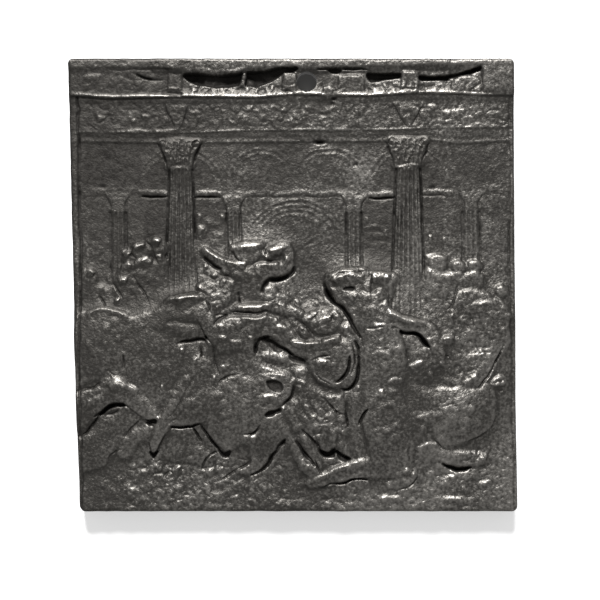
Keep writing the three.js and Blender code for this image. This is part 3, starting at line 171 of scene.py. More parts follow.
def nearest(p, q, x, z):
    """How far along the stretch p-q the nearest place is, and how far away."""
    dx, dz = q[0] - p[0], q[1] - p[1]
    t = clamp(((x - p[0]) * dx + (z - p[1]) * dz) / (dx * dx + dz * dz + 1e-9), 0, 1)
    return t, np.hypot(x - p[0] - dx * t, z - p[1] - dz * t)


def inside_by(path, x, z):
    """Distance to a closed outline, positive inside it."""
    distance = np.full(x.shape, FAR)
    inside = np.zeros(x.shape, bool)
    for p, q in zip(path, path[1:] + path[:1]):
        distance = np.minimum(distance, nearest(p, q, x, z)[1])
        if p[1] != q[1]:
            crosses = (p[1] > z) != (q[1] > z)
            inside ^= crosses & (x < p[0] + (z - p[1]) / (q[1] - p[1]) * (q[0] - p[0]))
    return np.where(inside, distance, -distance)


print("a curve through three points has", len(smooth([[0, 0], [1, 1], [2, 0]])), "points")

# %% [markdown]
# ## Forms that stand on the wall
#
# Five kinds are enough for bodies, heads, cloth and stone. A *limb* is a rounded ridge along a
# path that swells and thins. A *mass* is a low plateau with a smooth outline and a rolled edge, for
# torsos and flanks, and a *slab* is the same with straight sides. A *knob* is an oval cap, for
# heads and muscles. A *column* is a ridge with straight flutes.
#
# Each one is a function of place, and a figure melts its own forms into each other but stands
# sharply in front of whatever is behind it, which is how a sculptor separates figures.

# %% Limb, mass, slab and knob
def ball(u):
    """Fall of a round section: 0 at its crest, 1 at its side."""
    return 1 - np.sqrt(1 - u * u)


def limb(level, flat, points):
    """Points are x, z, radius and, where wanted, a rise above the level."""
    path = smooth([(p + [0])[:4] for p in points])
    reach = max(p[2] for p in path)
    x0, x1, z0, z1 = box_of(path)

    def height(x, z):
        best = np.full(x.shape, UNSET)
        for p, q in zip(path, path[1:]):
            t, d = nearest(p, q, x, z)
            r = p[2] + (q[2] - p[2]) * t
            crest = level + p[3] + (q[3] - p[3]) * t
            best = np.maximum(best, crest - flat * r * ball(np.minimum(d / r, 1))
                              - STEEP * np.maximum(d - r, 0))
        return best
    return (x0 - reach, x1 + reach, z0 - reach, z1 + reach), height


def plateau(path, level, roll, drop, slope_x, slope_z):
    x0, x1, z0, z1 = box_of(path)

    def height(x, z):
        d = inside_by(path, x, z)
        tilt = slope_x * (x - (x0 + x1) / 2) + slope_z * (z - (z0 + z1) / 2)
        return level + tilt - drop * ball(clamp(1 - d / roll, 0, 1)) - STEEP * np.maximum(-d, 0)
    return (x0, x1, z0, z1), height


def mass(level, roll, drop, points, slope_x=0.0, slope_z=0.0):
    return plateau(smooth(points, closed=True), level, roll, drop, slope_x, slope_z)


def slab(level, roll, drop, points, slope_x=0.0, slope_z=0.0):
    return plateau(points, level, roll, drop, slope_x, slope_z)


def knob(level, drop, x0, z0, rx, rz, turn=0):
    ca, sa = math.cos(math.radians(turn)), math.sin(math.radians(turn))
    reach = max(rx, rz)

    def height(x, z):
        u = np.hypot(((x - x0) * ca + (z - z0) * sa) / rx, ((z - z0) * ca - (x - x0) * sa) / rz)
        return (level - drop * ball(np.minimum(u, 1))
                - STEEP * min(rx, rz) * np.maximum(u - 1, 0))
    return (x0 - reach, x0 + reach, z0 - reach, z0 + reach), height


print("a round section falls from", ball(0.0), "at its crest to", ball(1.0), "at its side")

# %% Standing forms in front of each other
def figure(blend, parts):
    """Melts the parts into one form, then stands it in front of what is there."""
    boxes = np.array([box for box, _ in parts])
    rows, columns = window(boxes[:, 0].min(), boxes[:, 1].max(), boxes[:, 2].min(), boxes[:, 3].max())
    own = np.full(X[rows, columns].shape, UNSET)
    for box, height in parts:
        r, c = window(*box)
        part = own[r.start - rows.start:r.stop - rows.start,
                   c.start - columns.start:c.stop - columns.start]
        h = height(XW[r, c], ZW[r, c])
        melt = np.maximum(blend - np.abs(part - h), 0) ** 2 / (4 * blend) if blend > 0 else 0
        part[:] = np.maximum(part, h) + melt
    behind = form[rows, columns]
    for sheet in (cut, wear_and_painted_highlight, painted_shade):
        sheet[rows, columns] *= own <= behind
    form[rows, columns] = np.maximum(behind, own)


def place(*parts):
    figure(0, list(parts))


def tell(what):
    """Prints how far the carving stands out once a step is done."""
    print(f"{what}: highest form {form.max():.2f} mm, deepest cut {cut.max():.2f} mm")

# %% [markdown]
# ## Cuts
#
# A groove is a rounded line that fades at both ends, as a graver leaves it. A ridge is the same
# line raised. A shoulder is a one-sided step: steep along its upper edge, where it catches the
# light, and dying away below. A pocket is a deep hollow, such as the gap under an arm, and a recess
# is a sunk panel. Curls are small lumps set out in a spiral, so that they never overlap much.

# %% Groove and ridge
GROOVE_END = 0.35  # depth and width left at the ends of a groove


def groove(depth, width, points):
    path = smooth(points)
    last = len(path) - 1
    w = window(*box_of(path), pad=width + 0.2)
    deepest = np.zeros(X[w].shape)
    for i, (p, q) in enumerate(zip(path, path[1:])):
        t, d = nearest(p, q, XW[w], ZW[w])
        swell = np.maximum(np.sin(np.pi * (i + t) / last), 0) ** 0.6
        fade = GROOVE_END + (1 - GROOVE_END) * swell if last > 1 else 1
        u = np.minimum(d / (width * fade), 1)
        deepest = np.maximum(deepest, (1 - u * u) ** 2 * fade)
    cut[w] += depth * deepest


def ridge(height, width, points):
    groove(-height, width, points)


def lines(depth, width, paths):
    for path in paths:
        groove(depth, width, path)


print("a groove keeps", GROOVE_END, "of its depth at its ends")

# %% Shoulder
BRIGHT_LINE = 0.13  # width of the bright line painted on a shoulder, as wear and as painted highlight
BRIGHT_PLACE = 0.12  # how far out on the steep side it runs
BRIGHTEN_RATE, BRIGHTEN_LOSS = 3.2, 0.12  # how fast a line gets bright with the height of its step
SHORT_FADE = 8  # a shoulder dies away over an eighth of its length at each end


def shoulder(height, points, rise=0.26, reach=0.65):
    """A steep little step along a path, with the body on its right, where it dies away."""
    path = smooth(points)
    last = len(path) - 1
    w = window(*box_of(path), pad=2 * reach)
    nearest_yet = np.full(X[w].shape, FAR)
    across, fade = nearest_yet.copy(), np.zeros(X[w].shape)
    for i, (p, q) in enumerate(zip(path, path[1:])):
        t, d = nearest(p, q, XW[w], ZW[w])
        left = (q[0] - p[0]) * (ZW[w] - p[1]) - (q[1] - p[1]) * (XW[w] - p[0])
        closer = d < nearest_yet
        nearest_yet = np.where(closer, d, nearest_yet)
        across = np.where(closer, -np.sign(left) * d, across)
        s = (i + t) / last
        ends = clamp(SHORT_FADE * s, 0, 1) * clamp(SHORT_FADE * (1 - s), 0, 1)
        fade = np.where(closer, ends, fade)
    profile = np.where(across > 0, np.exp(-(across / reach) ** 2), clamp(1 + across / rise, 0, 1))
    cut[w] -= height * fade * profile
    # Its upper edge is also painted bright: part wear, part painted highlight.
    brighten = clamp(BRIGHTEN_RATE * height - BRIGHTEN_LOSS, 0, 1)
    bright = brighten * fade * np.exp(-((across + BRIGHT_PLACE) / BRIGHT_LINE) ** 2)
    wear_and_painted_highlight[w] = np.maximum(wear_and_painted_highlight[w], bright)


def lights(height, paths):
    for path in paths:
        shoulder(height, path)


print("a shoulder under", round(BRIGHTEN_LOSS / BRIGHTEN_RATE, 3), "mm high isn't rubbed bright")

# %% Pocket, recess and curls
GOLDEN_ANGLE = 2.39996  # radians, as between the seeds of a sunflower


def pocket(floor, roll, points):
    path = smooth(points, closed=True)
    w = window(*box_of(path))
    down = clamp(inside_by(path, XW[w], ZW[w]) / roll + 0.5, 0, 1)
    cut[w] = np.maximum(cut[w], np.maximum(form[w] - floor, 0) * down)
    # The pocket is also painted dark, as painted shade.
    painted_shade[w] = np.maximum(painted_shade[w], 1.2 * down)


def recess(depth, roll, points):
    w = window(*box_of(points), pad=0.5)
    inside = clamp(inside_by(points, X[w], Z[w]) / roll, 0, 1)
    form[w] -= depth * inside
    # The panel is also painted darker, the deeper the darker, as painted shade.
    painted_shade[w] = np.maximum(painted_shade[w], inside * (0.3 + depth))


def curls(height, size, count, x0, z0, rx, rz, seed, turn=0):
    rng = np.random.default_rng(seed)
    ca, sa = math.cos(math.radians(turn)), math.sin(math.radians(turn))
    for k in range(count):
        angle = GOLDEN_ANGLE * k + rng.uniform(-0.3, 0.3)
        out = math.sqrt((k + 0.5) / count) * rng.uniform(0.9, 1.05)
        p, q = out * math.cos(angle) * rx, out * math.sin(angle) * rz
        cx, cz, s = x0 + p * ca - q * sa, z0 + p * sa + q * ca, size * rng.uniform(0.55, 1.05)
        w = window(cx - s, cx + s, cz - s, cz + s, pad=0.1)
        u = np.minimum(np.hypot(X[w] - cx, (Z[w] - cz) * rng.uniform(0.9, 1.3)) / s, 1)
        lump = (1 - u * u) ** 1.5 - 0.35 * np.exp(-((u - 1) / 0.25) ** 2) * (u < 1)
        cut[w] -= 0.6 * height * rng.uniform(0.6, 1.2) * lump


print("curls turn by", round(math.degrees(GOLDEN_ANGLE), 1), "degrees from one to the next")

# %% [markdown]
# ## The building: beam, frieze, cornice and rim
#
# Long level parts of the building run a little crooked on the casting, so each edge is a line
# through a few heights and not a straight rule. From the foot up come the beam in two flat bands,
# a round bead, the frieze, the cornice with its bright lip, the slope on top of the cornice, and
# the rim of the plaque.

# %% Lines of the building
RIM_EDGE = [[-30, 28.85], [-17, 28.8], [-14.2, 28.4], [-11, 28.2], [-7.3, 28.25], [-6, 28.85],
            [0, 29.0], [3, 28.8], [6, 28.9], [10, 29.05], [14, 29.05], [17, 29.2], [25.2, 29.3]]
LIP = [[-29, 25.2], [-26, 24.95], [-24, 24.85], [-20, 24.95], [-15, 25.05], [-10, 25.05],
       [-5, 24.95], [-2, 25.2], [0, 25.4], [4, 25.3], [10, 25.2], [13, 25.35], [16, 25.6],
       [22, 25.5], [25, 25.3]]
BEAD = [[-29, 20.4], [-20, 20.35], [-14, 20.3], [-7, 20.6], [1, 20.7], [12, 20.7], [20, 21.0],
        [30, 21.1]]
BEAM = [[-29, 19.0], [-20, 18.85], [-12, 18.85], [-4, 18.95], [12, 19.05], [18.5, 19.2],
        [22, 18.8], [30, 19.2]]


def along(v, knots):
    return np.interp(v, [k[0] for k in knots], [k[1] for k in knots])


lip, bead, beam, rim_edge = along(X, LIP), along(X, BEAD), along(X, BEAM), along(X, RIM_EDGE)
print("the bead runs between", round(bead.min(), 2), "and", round(bead.max(), 2), "mm")

# %% Beam, bead and frieze
FRIEZE = 1.95  # levels above the back
EAVES = 2.37
RIM = 2.45
UPPER_BAND = 0.75  # height of the second band's foot above the first's


def ramp_up(v, per_mm):
    """Rises from 0 to 1 at a given rate."""
    return clamp(v * per_mm, 0, 1)


def crest(v, half_width):
    """1 on a line, falling softly to 0 beside it."""
    return np.exp(-(v / half_width) ** 2)


order = WALL + 0.13 * ramp_up(Z - beam + 0.08, 6) + 0.05 * ramp_up(Z - beam - UPPER_BAND, 6)
bead_height = 0.11 + 0.05 * np.sin(X * 0.9) * np.sin(X * 0.37 + 1)
order += 0.05 * crest(Z - beam - 0.12, 0.12)
order += bead_height * np.sqrt(clamp(1 - np.abs(Z - bead + 0.05) / 0.17, 0, 1))
order = np.where(Z > bead + 0.1, FRIEZE, order)
print("the bead stands", round(bead_height.min(), 2), "to", round(bead_height.max(), 2), "mm high")

# %% Cornice and rim
order += 0.1 * ramp_up(Z - lip + 1.0, 2) + 0.32 * ramp_up(Z - lip + 0.2, 5)
ledge = np.where(X < -14.8, 0.35, 1.0) + 0.2 * np.sin(X * 1.7)
fall = 0.4 - 0.3 * clamp((-17 - X) / 3, 0, 1)
back_to_wall = fall * clamp((Z - lip) / ledge, 0, 1) ** 0.8
overhang = 0.12 + 0.33 * clamp((X + 20) / 5, 0, 1) - 0.12 * clamp((X - 3) / 3, 0, 1)
under_rim = overhang * clamp((Z - rim_edge + 0.75) / 0.75, 0, 1)
order = np.where(Z > lip, EAVES - back_to_wall + under_rim, order)
lip_roll = 0.1 * crest(Z - lip - 0.14, 0.17) * clamp((-13 - X) / 2, 0, 1)
order += lip_roll * clamp((X + 29) / 2, 0, 1)
order = np.where(Z > rim_edge, RIM, order)
form[:] = np.where(Z > beam - 0.6, np.maximum(form, order), form)
# The lip, bead and beam are also painted bright along their edges, part wear, part painted highlight.
for line, thin, strength in (
    (lip + 0.12, 0.13, 0.85),
    (bead, 0.1, 0.5 + 3 * (bead_height - 0.11)),
    (beam + 0.15, 0.1, 0.25),
):
    wear_and_painted_highlight += clamp(strength, 0, 1) * crest(Z - line, thin) * (np.abs(X + 2) < 27)
tell("building")

# %% [markdown]
# ## Arches, recesses and small columns
#
# Behind the fight stands a shallow colonnade: two round arches behind the big columns, a wide
# apse between them, four sunk bays under a second cornice, and four small columns. All of it is
# only a few tenths of a millimetre high, so it is drawn with low ridges and shallow panels.

# %% Arches
HAIRLINE = 0.22  # half width of the low ridges


def arc(cx, cz, r, start, end, count=13):
    angles = np.radians(np.linspace(start, end, count))
    return [[cx + r * math.cos(a), cz + r * math.sin(a)] for a in angles]


for cx in (-15.2, 15.3):
    recess(0.16, 0.25, arc(cx, 12.6, 4.9, 0, 180))
    ridge(0.08, HAIRLINE, arc(cx, 12.5, 5.1, 4, 176))
    ridge(0.07, HAIRLINE, arc(cx, 12.5, 5.8, 8, 172))
ridge(0.06, HAIRLINE, arc(29.5, 13.2, 3.4, 100, 180, 7))
for r in (5.0, 5.7, 6.4, 7.1):
    ridge(0.07, HAIRLINE, arc(0.3, 4.2, r, 10, 170))
for ray in np.arange(20, 165, 17.5):
    ridge(0.04, HAIRLINE, arc(0.3, 4.2, 1.5, ray, ray, 1) + arc(0.3, 4.2, 5.0, ray, ray, 1))
for cx in (-4.3, 4.6):
    for r in (3.9, 4.6):
        ridge(0.065, HAIRLINE, arc(cx, 13.6, r, 15, 165))
tell("arches")

# %% Panels and sunk bays
recess(0.08, 0.4, [[-28.2, 18.3], [-20.5, 18.3], [-19.8, 16], [-20.4, 13.2], [-28.2, 13.0]])
recess(0.06, 0.4, [[21.4, 18.0], [28.6, 18.0], [28.6, 13.4], [20.8, 13.4], [20.2, 16]])

recess(0.3, 0.3, [[-20.1, 11.85], [-16.5, 11.85], [-16.5, 2], [-20.2, 2]])
recess(0.35, 0.3, [[-13.6, 11.8], [-9.7, 11.8], [-9.15, 11], [-8.85, 10.2], [-8.7, 9], [-8.7, 2],
                   [-13.6, 2]])
recess(0.35, 0.3, [[9.95, 11.8], [13.9, 11.8], [13.9, 1], [9.2, 1], [9.15, 9.4], [9.35, 10.6]])
recess(0.22, 0.3, [[16.9, 12.1], [20.3, 12.1], [20.2, 2], [16.9, 2]])
tell("bays")

# %% Second cornice
for x0, x1, z, dark in ((-20.9, -16.6, 12.25, 0.6), (-13.6, -9.6, 12.15, 0.6),
                        (10.0, 13.9, 12.2, 0.6), (17.0, 21.8, 12.3, 0.2)):
    place(slab(1.76, 0.2, 0.05, [[x0, z - 0.3], [x1, z - 0.3], [x1, z + 0.1], [x0, z + 0.1]]))
    lights(0.09, [[[x0, z + 0.05], [(x0 + x1) / 2, z + 0.1], [x1, z + 0.05]]])
    lines(dark, 0.17, [[[x0, z - 0.58], [(x0 + x1) / 2, z - 0.6], [x1, z - 0.58]]])
place(slab(1.74, 0.15, 0.03, [[-9, 11.75], [9.5, 11.75], [9.5, 12.4], [-9, 12.4]]))
lights(0.05, [[[-9, 12.3], [-1, 12.3], [9.5, 12.3]],
              [[-28.4, 12.5], [-24, 12.6], [-21, 12.5]], [[22, 12.9], [25, 12.95], [28.6, 12.9]]])
lines(0.12, 0.15, [[[-9, 11.7], [-4, 11.7], [0, 11.72]], [[0, 11.72], [6, 11.7], [9, 11.72]],
                   [[-28, 11.7], [-24, 11.75], [-21, 11.7]], [[22, 12.0], [25, 12.0], [28.6, 12.0]]])
place(slab(1.73, 0.15, 0.03, [[-28.4, 11.7], [-20.9, 11.8], [-20.9, 12.6], [-28.4, 12.5]]))
place(slab(1.74, 0.15, 0.04, [[21.9, 12.0], [28.8, 12.0], [28.8, 12.9], [21.9, 12.9]]))
for x0, x1, level in ((-22.1, -20.25, 1.74), (20.3, 21.8, 1.76), (5.9, 6.9, 1.76)):
    place(slab(level, 0.2, 0.05, [[x0, 2], [x1, 2], [x1, 11.8], [x0, 11.8]]))
tell("second cornice")

# %% [markdown]
# ## Columns and capitals
#
# The two big columns stand in front of everything but the fight. Their shafts widen towards the
# foot, and the flutes are a cosine of the angle round the shaft, so that they crowd together
# towards its sides as real flutes do. A capital is a bell with three rows of small leaves.

# %% Shafts with flutes
def column(cx, z0, z1, r0, r1, level, flutes, bulge, lean=0.0, flute_depth=0.26, side_line=0.4):
    """Foot and top z0 and z1, radius r0 at the neck and r1 at the foot."""
    rows, columns = window(cx - r1 - 1, cx + r1 + 1, z0, z1, pad=0)
    x, z = X[rows, columns], Z[rows, columns]
    down = (z1 - z) / (z1 - z0)
    r = r0 + (r1 - r0) * down
    u = (x - cx - lean * down) / r
    h = level - bulge * ball(clamp(np.abs(u), 0, 1)) - STEEP * r * np.maximum(np.abs(u) - 1, 0)
    turn = np.arcsin(clamp(u, -1, 1)) / np.pi
    behind = h <= form[rows, columns]
    for sheet in (cut, wear_and_painted_highlight, painted_shade):
        sheet[rows, columns] *= behind
    worn_foot = clamp((z + 3) / 6, 0.3, 1)
    flute = flute_depth * worn_foot * (1 - np.abs(np.cos(np.pi * turn * flutes)))
    cut[rows, columns] += np.where(np.abs(u) < 0.95, flute, 0)
    cut[rows, columns] += side_line * crest((np.abs(u) - 1.03) * r, 0.11)
    form[rows, columns] = np.maximum(form[rows, columns], h)

# %% The small columns
small_columns = [
    # axis, top, half width of the capital, radius at neck and foot, lean
    (-8.05, 11.75, 1.6, 0.92, 0.95, 0.2),
    (8.05, 11.9, 1.85, 1.0, 1.05, 0.05),
    (-23.4, 11.9, 1.7, 1.0, 1.05, 0.1),
    (23.7, 12.0, 1.65, 1.1, 1.2, 0.1),
]
for cx, top, half, r0, r1, lean in small_columns:
    level = 1.95 if abs(cx) < 10 else 1.88
    waist, neck = top - 1.2, top - 2.4
    bell = [[cx - half, top], [cx + half, top], [cx + half * 0.62, waist], [cx + r0, neck],
            [cx - r0, neck], [cx - half * 0.62, waist]]
    place(mass(level - 0.06, 0.5, 0.1, bell, 0, -0.07))
    column(cx, 0.5, top - 2.2, r0, r1, level, 5, 0.2, lean, 0.16, 0.25)
    for side in (-1, 1):
        lines(0.25, 0.16, [[[cx + side * half, top - 0.1], [cx + side * half * 0.66, waist],
                            [cx + side * (r0 + 0.05), top - 2.5]]])
    lights(0.05, [[[cx - r0, neck], [cx + r0, neck]],
                  [[cx - half, top], [cx, top], [cx + half, top]]])
    curls(0.08, 0.22, 12, cx, top - 1.1, half * 0.6, 0.7, 17)
tell("small columns")

# %% A bell with rows of leaves
def capital(cx, neck, top, w0, w1, level):
    bell = [[w0, neck], [w0 * 1.12, neck + 1.2], [w0 * 1.35, neck + 2.1], [w1 * 0.9, neck + 3.0],
            [w1, neck + 3.4], [w1 * 0.8, top]]
    right = [[cx + half, z] for half, z in bell]
    left = [[cx - half, z] for half, z in bell]
    place(mass(level - 0.03, 0.7, 0.25, right + left[::-1], 0, -0.1))
    for row, (count, z, size) in enumerate(((5, neck + 1.0, 0.42), (4, neck + 2.1, 0.45),
                                            (5, neck + 3.1, 0.42))):
        half = w0 * (0.85 + 0.22 * row)
        for i in range(count):
            x = cx + half * (2 * (i + 0.5) / count - 1)
            ridge(0.12, size * 0.8, [[x, z - 0.25], [x, z + 0.25]])
            groove(0.1, 0.15, [[x + size / 2, z + 0.4], [x + size * 0.4, z - 0.6]])
    for side in (-1, 1):
        ridge(0.1, 0.45, [[cx + side * (w1 - 0.6), top - 0.75], [cx + side * (w1 - 0.35), top - 0.6]])
        lines(0.45, 0.17, [[[cx + side * (half + 0.08), z] for half, z in bell[:-1]]])
    curls(0.16, 0.3, 60, cx, (neck + top) / 2 + 0.3, w0 * 1.2, 1.7, 15)
    for side in (-1, 1):
        lines(0.3, 0.16, [arc(cx + side * (w1 - 0.75), top - 0.9, 0.45, 20, 290, 7)])
    lights(0.06, [[[cx - 0.9, top - 0.4], [cx - 0.2, top - 0.1], [cx + 0.6, top - 0.3]]])

# %% The big columns
FRONT = 2.25  # level of the big columns
FLUTES = 9

capital(-15.25, 15.4, 19.6, 1.7, 3.0, FRONT)
column(-15.02, -3.0, 15.4, 1.5, 2.15, FRONT, FLUTES, 0.45)
capital(15.25, 15.5, 19.8, 1.75, 2.9, FRONT)
column(15.3, -5.5, 15.5, 1.58, 2.3, FRONT, FLUTES, 0.45)
neck_rings = [(15.3, 15.75, 1.55, 0.14), (15.3, 15.2, 1.5, 0.1), (-15.3, 15.3, 1.6, 0.12)]
for cx, z, half, height in neck_rings:
    lights(height, [[[cx - half, z - 0.2], [cx, z + 0.1], [cx + half, z - 0.2]]])
tell("big columns")

# %% [markdown]
# ## The attic
#
# Under the rim runs a row of deep dark gaps with short pedestals between them. The rim droops over
# the gaps at the left, where the wax sagged, and rough metal has stuck to the slope below them.

# %% Gaps
GAP_FLOOR = 0.7
pocket(GAP_FLOOR, 0.2, [
    [-14.7, 27.9], [-13, 28.0], [-11, 27.9], [-8, 27.95], [-5, 28.3], [-3, 28.6], [-1.6, 28.8],
    [0, 28.9], [0.6, 28.6], [-0.4, 28.2], [-1.5, 27.9], [-2.4, 27.4], [-4, 26.9], [-5, 26.55],
    [-7, 26.5], [-9, 26.45], [-11, 26.35], [-12.5, 26.6], [-13.6, 26.9], [-14.6, 27.5]])
pocket(GAP_FLOOR, 0.2, [[9.9, 28.1], [12, 28.0], [14.1, 28.1], [14.1, 27.6], [12, 27.2],
                        [10.2, 27.1]])
pocket(GAP_FLOOR, 0.2, [[16.9, 28.0], [19, 27.9], [21, 28.0], [23, 28.5], [25.2, 29.0],
                        [25.2, 28.6], [22.8, 28.1], [21, 27.7], [20.5, 27.4], [19, 27.5],
                        [17, 27.5]])
pocket(1.3, 0.2, [[4.8, 28.6], [6.4, 28.7], [6.3, 28.3], [5.2, 28.2]])
lines(0.5, 0.2, [[[-21, 27.9], [-20.5, 27.7], [-19.2, 27.3], [-17.2, 27.1]],
                 [[3.2, 28.6], [5, 28.7], [8, 28.75], [10, 28.5]]])
lines(0.12, 0.2, [[[-24, 28.4], [-19, 28.6], [-14, 28.5]]])
tell("gaps")

# %% Pedestals
for level, x0, x1, z0, z1 in ((2.12, -16.8, -14.8, 25.6, 28.0), (2.25, -1.5, 0.4, 25.6, 28.1),
                              (2.2, 6.0, 9.4, 25.6, 27.9), (2.22, 14.2, 16.8, 25.8, 28.5)):
    place(slab(level, 0.3, 0.15, [[x0, z0], [x1, z0], [x1 - 0.1, z1], [x0 + 0.1, z1]]))
place(slab(2.2, 0.3, 0.2, [[-7.4, 26.2], [-6.6, 26.2], [-6.3, 28.2], [-7.0, 28.2]]))
place(mass(2.3, 0.6, 0.25, [[21.1, 25.6], [25.0, 25.6], [25.0, 27.6], [22.8, 28.0], [21.3, 27.4]]))
place(knob(2.35, 0.4, 4.8, 25.6, 1.6, 1.0))
place(slab(2.47, 0.9, 0.3, [[25.3, 25.5], [30.2, 25.5], [30.2, 30.9], [25.3, 30.9]]))
curls(0.07, 0.3, 40, -23.5, 26.6, 5.5, 0.9, 19)
lights(0.12, [[[-27.8, 27.75], [-26.8, 27.8], [-25.8, 27.75]], [[7.0, 27.9], [8, 28.0], [9.0, 27.9]],
              [[14.4, 28.5], [15.4, 28.55], [16.4, 28.4]], [[17.2, 27.4], [18.8, 27.4], [20.2, 27.3]]])
for x0, x1, upper, lower in ((-17.2, -14.4, 26.0, 25.6), (14.0, 17.0, 26.35, 25.95)):
    for z in (upper, lower):
        ridge(0.12, 0.17, [[x0, z], [(x0 + x1) / 2, z], [x1, z + 0.05]])
tell("pedestals")

# %% [markdown]
# ## The frieze
#
# Two keystones break the frieze over the big columns. The ornament between them is worn down to
# short curved strokes, so it is sown at random: every stroke is half an arc, turned any way.

# %% Brackets and ornament of the frieze
BRACKETS = (-15.7, 15.4)
for cx, tip, top, half in ((BRACKETS[0], 20.4, 24.0, 1.5), (BRACKETS[1], 21.1, 24.3, 2.3)):
    place(slab(2.02, 0.3, 0.05, [[cx - half, top], [cx + half, top], [cx + 0.35, tip],
                                 [cx - 0.35, tip]]))
    for side in (-1, 1):
        lines(0.2, 0.16, [[[cx + side * half, top], [cx + side * (half + 0.35) / 2, (top + tip) / 2],
                            [cx + side * 0.3, tip]]])
    curls(0.1, 0.22, 24, cx, (top + tip) / 2 + 0.4, half * 0.6, 1.4, 23)
rng = np.random.default_rng(21)
for k in range(260):
    x, z, turn = rng.uniform(-27.5, 28.5), rng.uniform(21.0, 23.8), rng.uniform(0, 360)
    if min(abs(x - cx) for cx in BRACKETS) > 1.8:
        height, radius = rng.uniform(0.03, 0.085), rng.uniform(0.12, 0.45)
        ridge(height, 0.14, arc(x, z, radius, turn, turn + 150, 5))
for x0, z0, x1, z1 in ((-26.3, 22.2, -25.4, 22.2), (-23.9, 21.1, -23.1, 21.15),
                       (-21.8, 21.7, -21.0, 21.8), (-20.2, 22.4, -19.4, 22.5),
                       (19.8, 23.0, 23.0, 23.4), (-22.3, 20.45, -19.3, 20.45),
                       (-18.6, 20.4, -15.3, 20.35), (18.0, 24.0, 19.2, 23.7)):
    lights(0.13, [[[x0, z0], [(x0 + x1) / 2, (z0 + z1) / 2 + 0.08], [x1, z1]]])
tell("frieze")

# %% [markdown]
# ## The side rims
#
# A raised rim with a sunk line along its inner edge frames the carving at the left and right. It
# is put on last, over every figure that runs up to it.

# %% Side rims
left_rim = along(Z, [[-30.5, -28.05], [-24, -28.2], [-10, -28.4], [4, -28.45], [19, -28.65],
                     [31, -28.9]])
right_rim = along(Z, [[-30.5, 29.4], [-3.5, 29.0], [20, 28.9], [31, 28.9]])


def side_rims():
    left = 1.95 - 0.3 * clamp((X - left_rim + 0.15) / 0.3, 0, 1)
    right = 1.9 - 0.25 * clamp((right_rim - 0.1 - X) / 0.25, 0, 1)
    form[:] = np.where(X < left_rim + 0.15, np.maximum(form, left), form)
    form[:] = np.where(X > right_rim - 0.15, np.maximum(form, right), form)
    for rim, inward, depth, half_width in ((left_rim, 0.05, 0.3, 0.14),
                                           (right_rim, -0.05, 0.22, 0.12)):
        near = (Z < 25) & (np.abs(X - rim) < 1)
        sunk = depth * crest(XW - rim - inward, half_width)
        cut[:] = np.where(near, np.maximum(cut, sunk), cut)


print("the carving is", round(float((right_rim - left_rim).max()), 1), "mm wide at most")

# %% [markdown]
# ## Ground
#
# Under the fight the floor rises towards the foot of the plaque in soft rocky swells.

# %% Rising floor
FLOOR_RISE = 1.2
form[:] = np.maximum(form, WALL + FLOOR_RISE * clamp((-17 - Z) / 13, 0, 1) ** 0.8)
place(mass(2.5, 2.5, 0.6, [[-28.4, -23], [-24, -22.5], [-20, -23.6], [-16, -23.6], [-11, -23.5],
                           [-8, -26], [-3, -27], [2, -26.5], [2, -31], [-28.4, -31]]))
tell("floor")

# %% [markdown]
# ## The fight
#
# The figures follow from back to front, so that each hides what it stands before. Levels rise
# from 2 mm above the back for the crowd to 4 mm for the nearest shoulders. All of them are built
# from the same few forms, and the faces are left as small plain swellings. Each figure then gets
# its cut lines, and its lights: thin shoulders of metal along the edges that face up, painted
# bright as well, part wear and part painted highlight. A form has only the points that its shape
# needs, and the curve between them does the rest.

# %% [markdown]
# ### Figures in the bays
#
# Far figures in the sunk bays are hardly more than a head and a shoulder each.

# %% Figures in the bays
figure(0.25, [
    knob(1.95, 0.35, -12.2, 6.8, 0.75, 0.9),
    mass(1.8, 0.5, 0.3, [[-13.2, 5.8], [-11.2, 6.0], [-9.6, 7.0], [-9, 5], [-9.2, 2], [-13.2, 2]]),
    knob(1.8, 0.3, -10.2, 6.4, 0.6, 0.5),
    limb(1.75, 0.5, [[-12.8, 8.7, 0.3], [-11, 8.6, 0.35], [-9.4, 9.0, 0.3]]),
])
place(knob(1.75, 0.3, 12.4, 6.6, 0.6, 0.5))
lights(0.16, [[[-12.9, 7.3], [-12.3, 7.7], [-11.7, 7.3]], [[-12.9, 9.1], [-12.3, 9.1]],
  [[-9.8, 9.3], [-9.1, 9.1]], [[12.0, 7.1], [12.5, 7.1]], [[9.6, 8.7], [10.1, 8.7]]])
lights(0.07, [[[-11.6, 8.3], [-10.6, 8.2], [-9.6, 8.3]], [[-10.9, 6.9], [-9.4, 6.8]],
  [[-11.2, 6.0], [-9.6, 5.9]], [[9.6, 7.6], [11, 7.8], [12.6, 7.6]], [[9.6, 6.4], [11.2, 6.7],
  [12.8, 6.4]], [[9.8, 5.2], [11.4, 5.4], [13.2, 5.0]]])
curls(0.14, 0.3, 9, -12.2, 6.9, 0.6, 0.8, 5)
tell("figures in the bays")

# %% [markdown]
# ### Crowd at the left
#
# Onlookers behind the fight are low and worn: heads, shoulders and a few creases between them.

